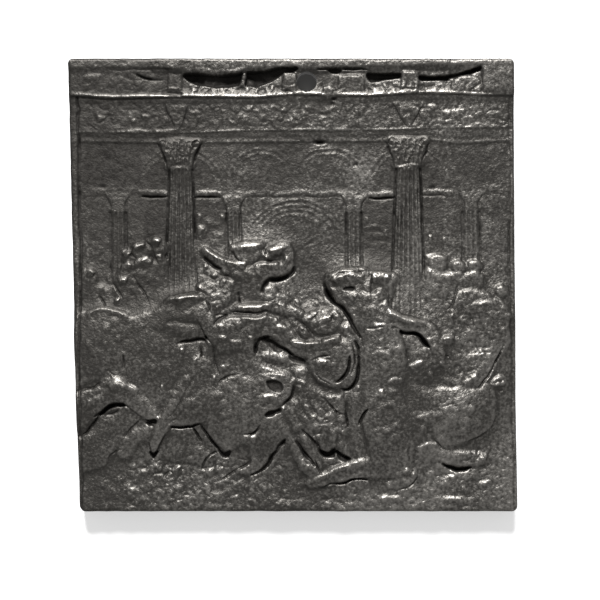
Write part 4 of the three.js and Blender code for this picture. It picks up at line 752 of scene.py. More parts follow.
# %% Crowd at the left
figure(0.25, [
    knob(2.6, 0.6, -20.3, 4.2, 1.35, 1.55),
    knob(2.5, 0.55, -18.0, 4.9, 1.3, 1.5),
    knob(2.35, 0.45, -22.2, 3.5, 0.8, 0.9),
    mass(2.45, 0.9, 0.5, [[-23.2, 2.3], [-21.4, 3.0], [-19.5, 3.2], [-18.3, 3.2], [-17.2, 3.8],
      [-16.5, 2], [-16.8, -3], [-19.2, -4.5], [-23, -4.5], [-24, -0.5]]),
    limb(2.5, 0.6, [[-22.8, 0.2, 0.6], [-21.7, 1.2, 0.7], [-21, 2.2, 0.7]]),
])
figure(0.25, [
    knob(2.4, 0.5, -27.2, 0.8, 1.2, 1.2),
    mass(2.2, 0.8, 0.4, [[-28.8, 0.2], [-26, 0.3], [-24.6, -0.3], [-24.2, -3], [-28.8, -4.5]]),
    knob(2.3, 0.3, -23.4, -2.6, 0.7, 0.5),
])
lines(0.3, 0.16, [[[-21.5, 1.2], [-20.9, -0.2], [-19.9, -1.4], [-19.2, -2.8]], [[-24, 0.1],
  [-23.4, -0.9], [-22.9, -2.0]], [[-19.4, 5.5], [-18.9, 4.8], [-18.6, 4.0], [-18.4, 3.5]],
  [[-21.5, 4.9], [-21.6, 4.0], [-21.0, 3.4]], [[-25.9, -1.4], [-25.3, -2.2], [-25, -3.0]]])
lights(0.36, [[[-21.5, 4.9], [-20.7, 5.5], [-19.9, 5.6]], [[-19.7, 5.8], [-18.6, 6.2],
  [-17.6, 5.9]], [[-21.4, 2.9], [-19.8, 3.2], [-18.6, 3.1]], [[-18.3, 3.5], [-17.4, 3.8]],
  [[-23.1, 2.5], [-22.2, 2.8], [-21.5, 2.6]], [[-28.3, 1.3], [-27.3, 1.8], [-26.4, 1.3]],
  [[-23.4, 0.5], [-22.8, 0.65], [-22.2, 0.5]], [[-22.9, 4.1], [-22.2, 4.4], [-21.7, 4.1]],
  [[-23.8, -2.2], [-23.2, -2.2]], [[-18.4, -3.4], [-17.6, -3.1]]])
lights(0.26, [[[-21.2, 4.6], [-20.4, 5.2], [-19.8, 5.3]], [[-19.5, 5.5], [-18.6, 5.9],
  [-17.7, 5.6]]])
curls(0.12, 0.3, 14, -27.2, 0.8, 1.0, 0.8, 12)
tell("crowd at the left")

# %% [markdown]
# ### Crowd at the right
#
# The crowd at the right is denser, with heads of curly hair that catch the light. At its
# edge an arm reaches up, with a deep line behind it.

# %% Crowd at the right
figure(0.25, [
    knob(2.5, 0.6, 19.3, 2.9, 1.25, 1.2),
    knob(2.45, 0.5, 22.0, 2.2, 1.0, 1.0),
    knob(2.45, 0.5, 24.1, 2.3, 1.0, 0.95),
    mass(2.35, 0.9, 0.5, [[17.6, 1.8], [19.6, 1.9], [21.6, 1.5], [24.8, 1.6], [25.4, 0.4],
      [25.4, -4], [21.4, -5], [17.4, -5]]),
])
figure(0.3, [
    knob(2.85, 0.6, 23.0, -1.8, 1.1, 1.1),
    knob(3.05, 0.7, 25.7, -3.6, 1.5, 1.45),
    knob(2.5, 0.5, 27.7, -0.9, 0.9, 0.9),
    mass(2.7, 0.9, 0.5, [[21.4, -1.4], [22.6, -0.7], [24.8, -0.6], [26.6, -1.6], [28.4, -3],
      [28.7, -8], [26, -11], [22, -11], [19.4, -8.5], [20.4, -3.6]]),
])
figure(0.3, [
    mass(2.88, 0.9, 0.4, [[19.0, -7.6], [20.4, -7.0], [21.6, -7.3], [22, -9], [23.4, -9],
      [24.4, -8.4], [26.4, -9.4], [26.6, -11], [24.6, -13.8], [19.8, -13.8], [17.4, -12.4],
      [17.8, -9.4]]),
    knob(3.3, 0.5, 20.4, -7.6, 1.0, 0.7, 10),
    knob(3.4, 0.6, 16.6, -10.8, 2.4, 3.2, 10),
])
figure(0.3, [
    limb(3.12, 0.4, [[27.4, -7.2, 0.7], [26.8, -8.8, 0.8], [26.0, -10.6, 0.9], [24.8, -12.2, 1.0],
      [23.4, -13.0, 1.0], [21.6, -13.2, 0.9]]),
])
place(knob(2.9, 0.4, 27.9, -6.1, 0.6, 0.5))
place(knob(2.9, 0.4, 28.5, -4.4, 0.6, 0.5))
lines(0.3, 0.16, [[[21.8, 0.2], [21.5, -1.4], [21.2, -2.5], [20.4, -3.4]], [[23.3, -3.9],
  [23.7, -4.8], [24.1, -5.6]], [[19.9, -9.4], [20.5, -9.6]]])
lines(0.65, 0.24, [[[28.0, -8.0], [27.3, -9.4], [26.7, -10.8], [25.9, -12.0], [25.2, -12.7],
  [24.5, -13.7]]])
lights(0.34, [[[18.8, -7.6], [19.7, -7.2], [20.5, -7.0], [21.3, -7.2]]])
lights(0.17, [[[17.6, 3.6], [18.7, 4.0], [19.8, 3.8], [20.5, 3.4]], [[20.9, 2.8], [22, 3.1],
  [22.9, 2.8]], [[23.2, 2.8], [24.2, 3.1], [24.9, 2.9]], [[17.9, 1.8], [18.4, 1.7]], [[20.2, 1.3],
  [21.4, 1.6], [22.4, 1.3]], [[22.8, 1.3], [23.8, 1.5], [24.8, 1.5]], [[24.8, -2.5], [25.7, -2.1],
  [26.6, -2.5]], [[20.5, -4.1], [21.1, -4.1]], [[27.4, -6.1], [28.2, -6.0]], [[22.4, -1.0],
  [23.0, -0.8], [23.6, -1.0]], [[27.4, 0.0], [28.0, 0.1]], [[18.0, 6.4], [18.4, 6.4]],
  [[19.8, 6.2], [20.2, 6.1]], [[28.1, -4.2], [28.7, -4.2]]])
curls(0.07, 0.28, 70, 25.3, -5.4, 3.0, 4.2, 31)
curls(0.1, 0.3, 16, 25.1, -9.1, 1.3, 0.8, 32)
curls(0.08, 0.28, 40, 21.4, -10.4, 3.0, 1.4, 33)
curls(0.08, 0.26, 24, 22.2, -3.6, 1.3, 2.6, 34)
tell("crowd at the right")

# %% [markdown]
# ### Man with raised arms
#
# A man behind the fight holds both forearms over the head. Each arm is a limb along four points,
# and the black line under it is a groove nearly as deep as the arm is high.

# %% Man with raised arms
figure(0.3, [
    mass(2.85, 0.8, 0.55, [[-8.9, 2.5], [-7.2, 2.9], [-4, 2.9], [-1.5, 3.0], [-0.6, 2.2],
      [-1.2, 1.2], [-3.2, 0.7], [-3.9, -0.7], [-4.2, -3], [-7.4, -3], [-7.4, -0.7], [-8.4, 0.8]]),
    limb(3.05, 0.6, [[-11.6, 4.4, 0.55], [-10.4, 3.5, 0.75], [-9.0, 2.6, 0.9], [-7.6, 1.9, 1.0]]),
    limb(3.15, 0.6, [[-3.4, 4.2, 0.55], [-2.2, 4.7, 0.7], [-1.0, 4.7, 0.65], [-0.5, 3.9, 0.6]]),
    limb(3.1, 0.55, [[-0.5, 3.6, 0.6], [-0.7, 2.5, 0.8], [-2.0, 1.9, 0.9], [-3.8, 1.9, 1.0]]),
])
figure(0.3, [
    knob(3.15, 0.7, -6.1, 4.0, 1.75, 1.35, 10),
    limb(3.1, 0.5, [[-7.9, 4.9, 0.4], [-6.2, 5.2, 0.5], [-4.4, 5.2, 0.4]]),
    knob(3.0, 0.4, -3.6, 3.9, 0.7, 0.5, -40),
])
lines(0.75, 0.42, [[[-12.0, 3.6], [-11.2, 2.9], [-10.4, 2.3], [-9.7, 2.0]]])
lines(0.35, 0.14, [[[-3.8, 3.35], [-2.8, 3.15], [-1.8, 3.2]], [[-7.9, 4.6], [-8.0, 4.0],
  [-7.6, 3.4], [-7.0, 3.1]], [[-4.0, 4.7], [-3.8, 4.1], [-4.2, 3.4]], [[-7.3, -1.2], [-7.2, -2.4]]])
lines(0.6, 0.5, [[[-0.6, 1.2], [-1.6, 0.8], [-2.9, 0.6]]])
lines(0.9, 0.38, [[[0.3, 2.5], [0.05, 1.7], [-0.8, 1.05], [-2.0, 0.7], [-3.2, 0.62], [-3.8, -0.1],
  [-4.1, -1.0]]])
lights(0.26, [[[-12.0, 4.9], [-11.2, 4.7], [-10.4, 4.2], [-9.6, 3.6], [-9.0, 3.3]], [[-9.1, 3.0],
  [-8.2, 3.1], [-7.2, 2.9], [-6.2, 2.8]], [[-7.8, 4.7], [-7.0, 5.2], [-6.0, 5.35], [-5.0, 5.35],
  [-4.3, 5.1]], [[-3.5, 4.6], [-2.6, 4.95], [-1.6, 4.95], [-1.1, 4.6]], [[-5.3, 2.65], [-4, 2.8],
  [-2.6, 2.95], [-1.9, 3.0]], [[-4.3, 3.9], [-3.4, 3.6]], [[-0.9, 3.5], [-0.4, 3.1]]])
lights(0.08, [[[-6.6, 2.0], [-5.4, 1.6], [-4.4, 1.8]], [[-6, 0.2], [-5.4, 0.0], [-4.8, -0.2]]])
lights(0.2, [[[-11.6, 4.5], [-10.6, 4.0], [-9.8, 3.4]], [[-7.2, 4.9], [-6, 5.05], [-5, 5.0]],
  [[-3.2, 4.4], [-2.4, 4.65], [-1.6, 4.6]]])
curls(0.07, 0.3, 14, -6.0, 4.6, 1.6, 0.5, 41)
tell("man with raised arms")

# %% [markdown]
# ### Curly head
#
# A bearded head of curls fills the gap between the arms.

# %% Curly head
figure(0.3, [
    knob(3.45, 0.9, -10.0, -1.9, 2.2, 2.3, -20),
    knob(3.2, 0.5, -11.8, -0.3, 1.1, 0.8, 15),
    knob(3.1, 0.5, -8.8, 0.0, 1.2, 0.7, 5),
    knob(2.6, 0.4, -9.2, 1.5, 0.5, 0.5),
    knob(2.6, 0.4, -10.8, 0.9, 0.5, 0.5),
])
lines(0.35, 0.16, [[[-10.7, -4.3], [-9.8, -4.0], [-8.6, -4.1]]])
lights(0.24, [[[-11.1, 1.1], [-10.7, 1.3], [-10.2, 1.0]], [[-9.4, 1.6], [-8.9, 1.7]],
  [[-10.0, 0.4], [-9.4, 0.5], [-8.9, 0.3]], [[-12.0, 2.4], [-11.5, 2.3]], [[-12.7, -0.4],
  [-12.2, -0.3]]])
curls(0.1, 0.3, 44, -10.0, -1.4, 2.1, 2.3, 51)
curls(0.12, 0.28, 12, -9.6, 1.0, 1.4, 0.9, 52)
tell("curly head")

# %% [markdown]
# ### Left horse body
#
# The left centaur's horse body is the largest form: a broad low mass with swellings for rump and
# barrel, and a hind leg doubled under it. Pockets between the legs are nearly as deep as the wall.

# %% Left horse body
figure(0.4, [
    mass(3.3, 1.1, 0.75, [[-29.0, -4.7], [-27.6, -3.85], [-25.4, -3.15], [-24.0, -3.3],
      [-22.2, -3.95], [-20.8, -3.75], [-19.3, -3.3], [-17.3, -3.0], [-15.5, -4.6], [-14.2, -7.6],
      [-13.8, -10], [-14.8, -13], [-17, -16.2], [-19.2, -17.3], [-21.3, -15.4], [-23, -13.6],
      [-25.6, -13.0], [-28, -13.8], [-29, -14.2]]),
    knob(3.5, 0.7, -25.4, -8.0, 4.2, 4.8),
    knob(3.5, 0.8, -18.0, -9.5, 4.6, 5.2, -35),
])
figure(0.35, [
    limb(3.6, 0.35, [[-28.9, -17.2, 2.6], [-26.6, -15.6, 2.0], [-24.2, -14.4, 1.35],
      [-22.6, -14.6, 1.45], [-21.0, -15.4, 1.45], [-19.7, -16.5, 1.3], [-18.6, -17.5, 0.95]]),
    limb(3.75, 0.5, [[-24.9, -13.0, 0.5], [-23.4, -12.8, 0.6], [-22.4, -13.4, 0.5]]),
])
figure(0.35, [
    mass(3.0, 0.8, 0.6, [[-25.2, -17.6], [-23.8, -17.0], [-22.6, -16.2], [-21, -17.3],
      [-20.2, -18.2], [-22, -19.9], [-22.5, -21.2], [-23.4, -22.1], [-24.6, -23.6], [-25.4, -24.6],
      [-28.6, -25], [-28.7, -20.6], [-26.5, -19.4]]),
    limb(3.05, 0.3, [[-19.4, -19.4, 0.9], [-21.4, -20.6, 1.0], [-22.6, -22.4, 0.9]]),
])
pocket(1.9, 0.25, [[-25.7, -17.3], [-25.1, -16.5], [-24.4, -15.95], [-23.4, -15.65],
  [-22.5, -15.8], [-23.1, -16.2], [-23.6, -16.9], [-24.6, -17.3]])
pocket(2.3, 0.2, [[-20.1, -18.2], [-19.2, -18.15], [-18.2, -18.0], [-18.3, -18.9], [-19.3, -18.7]])
lights(0.36, [[[-28.4, -4.2], [-27, -3.6], [-25.5, -3.2], [-24.2, -3.4], [-22.9, -3.8],
  [-21.6, -3.9]]])
lights(0.36, [[[-24.6, -13.3], [-23.3, -12.8], [-22.6, -12.9], [-22.0, -13.4], [-21.2, -13.7],
  [-20.2, -14.2]], [[-18.0, -17.7], [-17.3, -17.6]]])
lights(0.25, [[[-24.4, -13.6], [-23.2, -13.2], [-22.2, -13.8]]])
lights(0.08, [[[-28.5, -15.9], [-27.5, -15.7], [-26, -14.9], [-25.2, -14.5]], [[-28.4, -16.4],
  [-27.7, -16.2]], [[-20.4, -5.2], [-19.8, -5.6]]])
lines(0.3, 0.16, [[[-28.8, -14.2], [-27.6, -13.9], [-26.4, -13.6], [-25.6, -13.1], [-24.7, -12.6]],
  [[-22.4, -9.5], [-22.5, -11.3]], [[-24.6, -11.4], [-23.9, -11.9]], [[-20.3, -18.0], [-21, -18.6],
  [-21.8, -19.4], [-22.3, -20.4]], [[-22.7, -22.0], [-23.6, -22.3], [-24.3, -22.8],
  [-24.9, -23.7]]])
lines(0.4, 0.2, [[[-28.8, -20.4], [-27.5, -19.9], [-26.4, -18.6], [-25.7, -17.5], [-25.2, -16.8]],
  [[-23.3, -15.75], [-22.4, -15.9], [-21.5, -16.6], [-20.7, -17.3], [-20.0, -17.9]]])
lines(0.8, 0.34, [[[-26.4, -17.7], [-25.4, -17.0], [-24.6, -16.4], [-23.8, -16.0], [-22.9, -15.8]]])
tell("left horse body")

# %% [markdown]
# ### Middle horse body
#
# The second horse body lies in the middle, its tail looped forward round a dark hollow.

# %% Middle horse body
figure(0.4, [
    mass(3.45, 1.2, 0.8, [[-10.0, -8.4], [-8, -7.9], [-5.4, -8.8], [-3.8, -10.3], [-0.7, -11.6],
      [0.3, -13.2], [-0.4, -15.2], [-1.9, -16.2], [-1.2, -18.0], [0.0, -19.9], [-1.4, -21.1],
      [-2.7, -22.6], [-3.6, -24.2], [-5.6, -25.4], [-7.6, -24.7], [-5.9, -23.6], [-6.4, -21.4],
      [-8.4, -22.2], [-9.8, -21.8], [-11.2, -20.2], [-11.9, -18.5], [-13.8, -19.1], [-16.6, -19.0],
      [-16.4, -17.5], [-14.5, -14.5], [-11.8, -11.9], [-10.3, -10.5]]),
    knob(3.75, 0.6, -6.5, -15.5, 4.2, 4.0, -40),
    knob(3.6, 0.6, -12.5, -15.8, 3.8, 2.6, 30),
])
pocket(1.6, 0.2, [[-10.0, -22.2], [-9.2, -22.4], [-8.4, -22.1], [-8.5, -22.8], [-9.3, -22.9]])
place(mass(2.75, 1.0, 0.5, [[-16.6, -19.6], [-13.6, -19.5], [-12.2, -21.2], [-10.5, -22.6],
  [-11.5, -24], [-15, -23.8], [-17.5, -23.0]]))
place(limb(3.6, 0.4, [[-4.0, -11.2, 0.25], [-2.6, -11.7, 0.35], [-1.3, -12.5, 0.45],
  [-0.7, -13.7, 0.45], [-1.2, -15.1, 0.4], [-2.5, -15.8, 0.3]]))
pocket(2.7, 0.25, [[-3.7, -13.0], [-2.9, -12.7], [-1.9, -12.9], [-1.5, -13.7], [-1.9, -14.2],
  [-2.9, -13.9]])
pocket(2.2, 0.25, [[-3.9, -17.4], [-3.6, -16.9], [-2.9, -16.7], [-1.9, -16.35], [-1.8, -16.7],
  [-2.6, -17.0], [-3.1, -17.4]])
lines(0.7, 0.25, [[[-17.2, -19.0], [-16.2, -19.0], [-15, -19.1], [-13.6, -19.0], [-13, -18.7],
  [-12.2, -18.5]], [[-12.2, -18.6], [-11.6, -19.8], [-11.0, -20.7], [-10.3, -21.5], [-9.8, -22.2]]])
lines(0.55, 0.2, [[[-13.3, -19.2], [-12.8, -20], [-12.2, -21.0]], [[-10.2, -22.4], [-11.3, -22.8],
  [-12.0, -23.8], [-12.2, -24.6]], [[-5.6, -23.3], [-6.9, -24.4], [-8.0, -25], [-9.4, -26.0]],
  [[-4.4, -18.6], [-4.7, -19.2], [-5.5, -19.8], [-6.6, -19.9]], [[0.0, -13.4], [-0.2, -14.6],
  [-0.8, -15.4], [-1.7, -16.1]]])
lines(0.35, 0.18, [[[-10.3, -13.9], [-9.6, -12.9], [-8.8, -12.4], [-7.6, -11.9]]])
lines(0.8, 0.32, [[[0.1, -20.1], [-1.2, -21.0], [-2.1, -21.8]], [[-1.9, -21.8], [-2.7, -22.9],
  [-3.3, -23.8], [-4.3, -24.6], [-5.6, -25.4]]])
lights(0.25, [[[-4.3, -10.9], [-3.4, -11.3], [-2.6, -11.4], [-2.0, -11.7], [-1.0, -12.2]],
  [[-4.1, -14.9], [-3.0, -14.75], [-2.1, -15.0]], [[-1.7, -16.2], [-0.8, -16.5]], [[-5.7, -20.2],
  [-4.8, -20.3]]])
lights(0.14, [[[-9.7, -10.8], [-8.2, -10.8]], [[-4.2, -12.0], [-3.2, -12.3], [-2.0, -12.6]]])
curls(0.08, 0.25, 26, -2.6, -11.6, 1.9, 0.7, 71, -20)
tell("middle horse body")

# %% [markdown]
# ### Bent back and foreleg
#
# A bent back joins the horse body to the fight, with a head under the arm and a long foreleg
# that reaches down to its hoof.

# %% Bent back and foreleg
figure(0.4, [
    mass(3.85, 1.2, 0.8, [[-17.6, -2.9], [-16.3, -1.95], [-15, -1.5], [-14, -1.25], [-12.5, -1.5],
      [-11.6, -2.1], [-11.0, -3], [-10.8, -4.2], [-11.2, -5.4], [-12.4, -5.3], [-14, -5.2],
      [-16.5, -4.9], [-18.5, -4.3]]),
    limb(3.6, 0.35, [[-17.5, -5.2, 1.6], [-15.4, -5.8, 1.4], [-13.4, -6.2, 0.9]]),
    limb(3.75, 0.45, [[-11.9, -3.6, 1.3], [-11.2, -5.6, 1.1], [-10.6, -7.4, 0.9]]),
])
figure(0.3, [
    knob(3.3, 0.9, -13.2, -9.3, 1.9, 1.6, -20),
    knob(3.4, 0.5, -11.6, -8.9, 0.8, 1.2),
    knob(3.35, 0.35, -14.6, -8.9, 0.45, 0.4),
])
pocket(3.0, 0.2, [[-14.9, -7.8], [-14.2, -7.45], [-13.1, -7.3], [-11.8, -6.9], [-11.5, -7.2],
  [-12.6, -7.5], [-13.6, -7.7], [-14.5, -7.9]])
figure(0.4, [
    limb(3.6, 0.2, [[-12.2, -11.0, 1.7], [-13.4, -13.2, 1.7], [-15.3, -15.9, 1.3],
      [-16.9, -18.2, 0.85], [-17.9, -20.2, 0.6], [-18.5, -21.8, 0.55]]),
    knob(3.4, 0.4, -17.8, -17.7, 0.6, 0.4),
])
pocket(1.6, 0.15, [[-19.0, -22.2], [-18.5, -22.4], [-18.0, -22.2], [-18.3, -23.0], [-18.6, -23.1]])
lights(0.5, [[[-17.2, -2.5], [-15.8, -1.75], [-14.5, -1.35], [-13.4, -1.2], [-12.4, -1.3],
  [-11.7, -1.9]]])
lines(0.12, 0.5, [[[-17.2, -5.2], [-15.2, -5.0], [-13.2, -5.2]]])
lights(0.2, [[[-14.9, -8.7], [-14.4, -8.7]], [[-13.5, -9.9], [-12.8, -9.9]], [[-10.7, -12.4],
  [-10.3, -12.5]], [[-17.6, -13.6], [-17.3, -13.6]]])
lines(0.4, 0.17, [[[-12.8, -4.9], [-12.2, -5.9], [-11.7, -6.9], [-11.0, -7.8], [-10.6, -8.7],
  [-10.4, -10], [-10.1, -11], [-9.8, -11.9]], [[-11.6, -2.2], [-11.2, -3.0], [-11.2, -3.9]],
  [[-12.5, -8.2], [-12.2, -9.2], [-12.4, -10]]])
lines(0.8, 0.26, [[[-15.4, -8.0], [-14.5, -7.7], [-13.4, -7.4], [-12.4, -7.2], [-11.7, -7.4]]])
lines(0.15, 0.2, [[[-12.9, -12.0], [-14.1, -14.0], [-15.5, -16.3], [-16.6, -17.6]],
  [[-14.6, -16.6], [-15.5, -17.6], [-16.6, -18.5], [-17.2, -19.4]]])
lines(0.75, 0.26, [[[-19.1, -20.9], [-18.95, -21.9], [-18.5, -22.9], [-18.1, -22.3],
  [-17.6, -21.2], [-17.0, -20.1]]])
lights(0.3, [[[-15.8, -2.1], [-14.5, -1.75], [-13.4, -1.6], [-12.4, -1.75]]])
curls(0.08, 0.25, 18, -13.6, -9.2, 1.5, 1.0, 61)
tell("bent back and foreleg")

# %% [markdown]
# ### Arms across the middle
#
# Two arms cross the middle in bands, above the deepest gap of the carving.

# %% Arms across the middle
figure(0.35, [
    limb(3.35, 0.5, [[-8.0, -3.4, 0.5], [-6, -3.2, 0.65], [-4, -3.15, 0.65], [-2.2, -3.4, 0.6],
      [-0.4, -3.6, 0.7], [1.0, -4.2, 0.5]]),
    knob(3.3, 0.6, -2.4, -1.9, 1.9, 1.1, -10),
    knob(3.1, 0.5, -3.0, -0.8, 0.9, 0.7),
])
figure(0.35, [
    limb(4.0, 0.5, [[-9.2, -6.4, 1.3], [-8.0, -5.8, 1.5], [-6, -5.6, 1.3], [-4, -5.6, 1.2],
      [-2.4, -6.0, 1.1], [-1.0, -6.8, 1.0], [0.2, -8.2, 0.9]]),
    mass(3.85, 1.0, 0.6, [[-10.3, -5.6], [-9.4, -4.7], [-7.6, -4.35], [-3.6, -4.3], [-2, -4.9],
      [-3.2, -6.8], [-5.2, -7.4], [-5.2, -9.4], [-7.4, -8.9], [-10.0, -9.2], [-10.4, -7.6]]),
])
pocket(1.7, 0.3, [[-5.1, -9.1], [-4.9, -7.6], [-3.6, -7.0], [-2.9, -7.4], [-1.4, -8.3],
  [-0.3, -9.2], [1.0, -9.7], [1.7, -10.1], [1.5, -10.8], [0.4, -10.7], [-0.6, -9.7], [-1.8, -8.9],
  [-3.2, -8.4], [-4.4, -8.2]])
figure(0.2, [
    knob(3.2, 0.6, -3.4, -9.6, 1.3, 0.7, 5),
    knob(3.15, 0.5, -1.6, -9.9, 1.0, 0.6, -10),
    knob(3.1, 0.4, -2.2, -9.3, 0.6, 0.4),
])
lights(0.42, [[[-8.0, -2.85], [-6.6, -2.7], [-5.2, -2.6], [-4, -2.65], [-2.7, -2.85]],
  [[-7.1, -4.4], [-5.6, -4.3], [-4.4, -4.25], [-3.4, -4.15]]])
lights(0.18, [[[-9.9, -6.9], [-9.2, -6.75], [-8.6, -6.9]], [[-8.3, -7.4], [-7.6, -7.5],
  [-6.8, -7.5]], [[-5.9, -7.0], [-5.2, -7.0]], [[-2.2, -5.8], [-1.4, -5.7], [-0.6, -5.9]],
  [[-2.4, -4.7], [-1.8, -4.6]], [[-0.6, -4.8], [0.2, -4.7]], [[-9.8, -5.5], [-9.2, -5.3]],
  [[-1.9, -2.9], [-1.0, -2.8]], [[-0.4, -3.2], [0.6, -3.5], [1.4, -3.9]]])
lines(0.4, 0.2, [[[-10.4, -5.4], [-9.9, -4.7], [-9.2, -4.3], [-8.7, -4.0]], [[-8.2, -3.7],
  [-6.4, -3.6], [-4.6, -3.6], [-3.0, -3.8]]])
lines(0.7, 0.45, [[[-4.2, -7.6], [-3.4, -7.8], [-2.4, -8.5], [-1.6, -8.8]], [[-0.4, -9.6],
  [0.6, -10.2], [1.6, -10.4]]])
lines(0.7, 0.3, [[[-5.0, -9.2], [-4.95, -8.2], [-4.5, -7.5], [-3.8, -7.3], [-3, -7.7],
  [-2.2, -8.2], [-1.4, -8.5], [-0.6, -9.0], [0.4, -9.7], [1.6, -10.3]]])
lights(0.25, [[[-7.0, -3.05], [-5.5, -2.95], [-4, -2.95]]])
curls(0.13, 0.28, 40, -2.2, -1.5, 2.1, 1.2, 81, -15)
curls(0.09, 0.26, 34, -0.6, -5.2, 1.9, 1.2, 82)
curls(0.09, 0.26, 24, -2.6, -9.7, 2.1, 0.8, 83, -8)
tell("arms across the middle")

# %% [markdown]
# ### Fighter with a round shield
#
# A long-haired head is bowed behind a round shield, with a pleated tunic and two shins below it.

# %% Fighter with a round shield
figure(0.35, [
    knob(3.6, 1.0, 4.2, -5.2, 2.5, 1.75, -12),
    limb(3.75, 0.5, [[1.8, -4.6, 0.4], [3.2, -4.0, 0.5], [5.0, -4.0, 0.5], [5.9, -4.6, 0.4]]),
    knob(3.45, 0.5, 1.4, -6.4, 0.6, 0.8),
    knob(3.5, 0.5, 7.1, -6.0, 0.9, 0.7),
])
figure(0.35, [
    mass(3.7, 1.1, 0.8, [[-0.1, -7.4], [1.2, -7.6], [3.2, -7.2], [5.3, -6.9], [7.2, -7.2],
      [8.6, -8.2], [8.8, -10.4], [8.4, -12.6], [7.2, -13.9], [5.2, -14.0], [3.2, -13.0],
      [2.0, -11.4], [1.6, -10.0], [0.6, -8.8]]),
    limb(3.9, 0.5, [[-0.4, -7.8, 0.7], [1.6, -8.6, 1.0], [3.6, -8.3, 1.0], [5.6, -8.0, 0.9],
      [6.8, -8.6, 0.7]]),
])
figure(0.35, [
    mass(3.4, 1.0, 0.7, [[0.0, -11.3], [1.6, -11.2], [2.2, -12.8], [4.6, -14.4], [7.0, -14.5],
      [7.2, -16.8], [7.2, -19.6], [7.9, -22.0], [7.2, -23.2], [5.8, -22.0], [4.6, -22.4],
      [3.6, -22.2], [3.0, -21.0], [1.4, -19.6], [0.2, -20.0], [-0.8, -18.4], [-1.2, -16.6],
      [0.2, -14.6], [0.2, -13.0]]),
    knob(3.6, 0.6, 4.0, -19.2, 2.6, 2.2),
])
pocket(1.6, 0.25, [[3.6, -22.0], [4.6, -22.3], [5.6, -22.0], [5.4, -22.8], [4.6, -22.8],
  [3.9, -22.6]])
pocket(1.7, 0.2, [[5.8, -22.2], [6.6, -22.7], [7.6, -23.2], [7.2, -23.5], [6.2, -23.1]])
figure(0.3, [
    limb(3.3, 0.5, [[1.6, -20.4, 0.9], [2.4, -22.0, 0.75], [3.0, -23.6, 0.7], [3.2, -25.0, 0.5]]),
    limb(3.2, 0.5, [[-0.4, -20.6, 0.7], [0.6, -22.6, 0.8], [1.6, -24.2, 0.8], [2.4, -25.2, 0.6]]),
])
lights(0.45, [[[2.9, -4.6], [4.0, -4.1], [5.2, -4.0]], [[-0.3, -7.7], [1, -7.75], [2.4, -7.6],
  [3.4, -7.3]], [[3.7, -7.3], [4.6, -7.2], [5.6, -7.0], [6.4, -6.9]]])
lights(0.2, [[[2.1, -3.9], [2.6, -3.7], [3.1, -3.7]], [[1.5, -4.9], [1.8, -4.5], [2.3, -4.2]],
  [[6.7, -6.0], [7.4, -5.8]], [[5.0, -3.4], [5.7, -3.9], [6.1, -4.5]], [[6.7, -6.6], [7.6, -6.9],
  [8.3, -7.6]], [[3.0, -10.4], [3.6, -10.1], [4.3, -10.3]], [[0.0, -12.5], [0.6, -12.9],
  [1.5, -13.2]], [[0.2, -13.5], [0.9, -13.8]], [[8.3, -14.0], [8.9, -13.5]], [[0.9, -5.6],
  [1.3, -6.0]], [[0.3, -2.4], [0.9, -2.2]]])
lights(0.12, [[[2.6, -11.6], [3.6, -12.4], [4.8, -13.0], [6.4, -13.2]], [[3.3, -5.2], [4.2, -4.8],
  [5.2, -4.9]], [[2.8, -6.0], [3.6, -5.6], [4.8, -5.5]], [[4.6, -15.1], [5.3, -15.2]],
  [[2.7, -18.9], [3.6, -18.7], [4.5, -18.8]], [[4.8, -20.6], [5.7, -20.7]], [[6.2, -19.5],
  [7.0, -19.4]], [[3.4, -20.1], [4.2, -20.1]], [[1.0, -23.4], [1.6, -24.0], [2.2, -24.2]],
  [[5.2, -16.6], [6.0, -16.5]], [[1.4, -16.0], [2.2, -16.3]], [[2.4, -17.4], [3.2, -17.5]]])
lines(0.4, 0.17, [[[7.9, -8.0], [8.25, -9.4], [8.1, -11.0], [7.5, -12.2]], [[5.0, -13.3],
  [3.6, -12.5], [2.6, -11.5]], [[2.1, -10.3], [3.0, -9.7], [4.0, -9.4], [5.0, -9.45]],
  [[1.0, -5.0], [1.8, -5.8], [2.7, -6.6]], [[3.8, -14.9], [4.8, -16], [6.0, -17.0], [6.9, -17.3]],
  [[2.6, -22.8], [3.2, -24.2], [3.6, -25.3]]])
lines(0.8, 0.3, [[[8.2, -7.4], [8.85, -8.7], [8.85, -10.5], [8.5, -12.3], [7.9, -13.4],
  [7.1, -14.05], [6.3, -13.9]], [[7.55, -9.5], [7.4, -10.8], [7.0, -11.7], [6.3, -12.5],
  [5.5, -13.0]], [[0.3, -20.8], [1.0, -21.9], [1.6, -22.7], [2.4, -23.4], [2.8, -24.1]]])
lines(0.5, 0.22, [[[1.0, -19.2], [1.8, -19.9], [2.6, -20.6], [3.3, -21.5], [3.6, -22.3]],
  [[7.0, -15.6], [7.0, -17.5], [7.3, -19], [7.7, -20.2]], [[3.4, -22.2], [4.4, -22.7],
  [5.4, -22.4], [5.9, -22.3], [6.5, -22.8], [7.6, -23.4]]])
lines(0.14, 0.2, [[[0.4, -15.0], [1.2, -16.6], [2.2, -17.8]], [[1.6, -14.6], [2.6, -16.4],
  [3.6, -17.6]], [[2.8, -14.6], [3.6, -16.0], [4.8, -17.4]], [[2.6, -19.4], [3.2, -20.6],
  [3.6, -21.6]], [[4.4, -19.6], [4.6, -21.0], [4.6, -22.0]], [[5.8, -19.4], [5.9, -21.0],
  [5.8, -22.0]], [[0.2, -16.6], [1.0, -18.2], [1.8, -19.2]]])
lights(0.3, [[[2.6, -5.0], [3.6, -4.6], [5.0, -4.4]]])
curls(0.08, 0.25, 34, 4.2, -5.2, 2.0, 1.2, 91)
curls(0.04, 0.28, 60, 3.6, -17.4, 3.0, 3.6, 92)
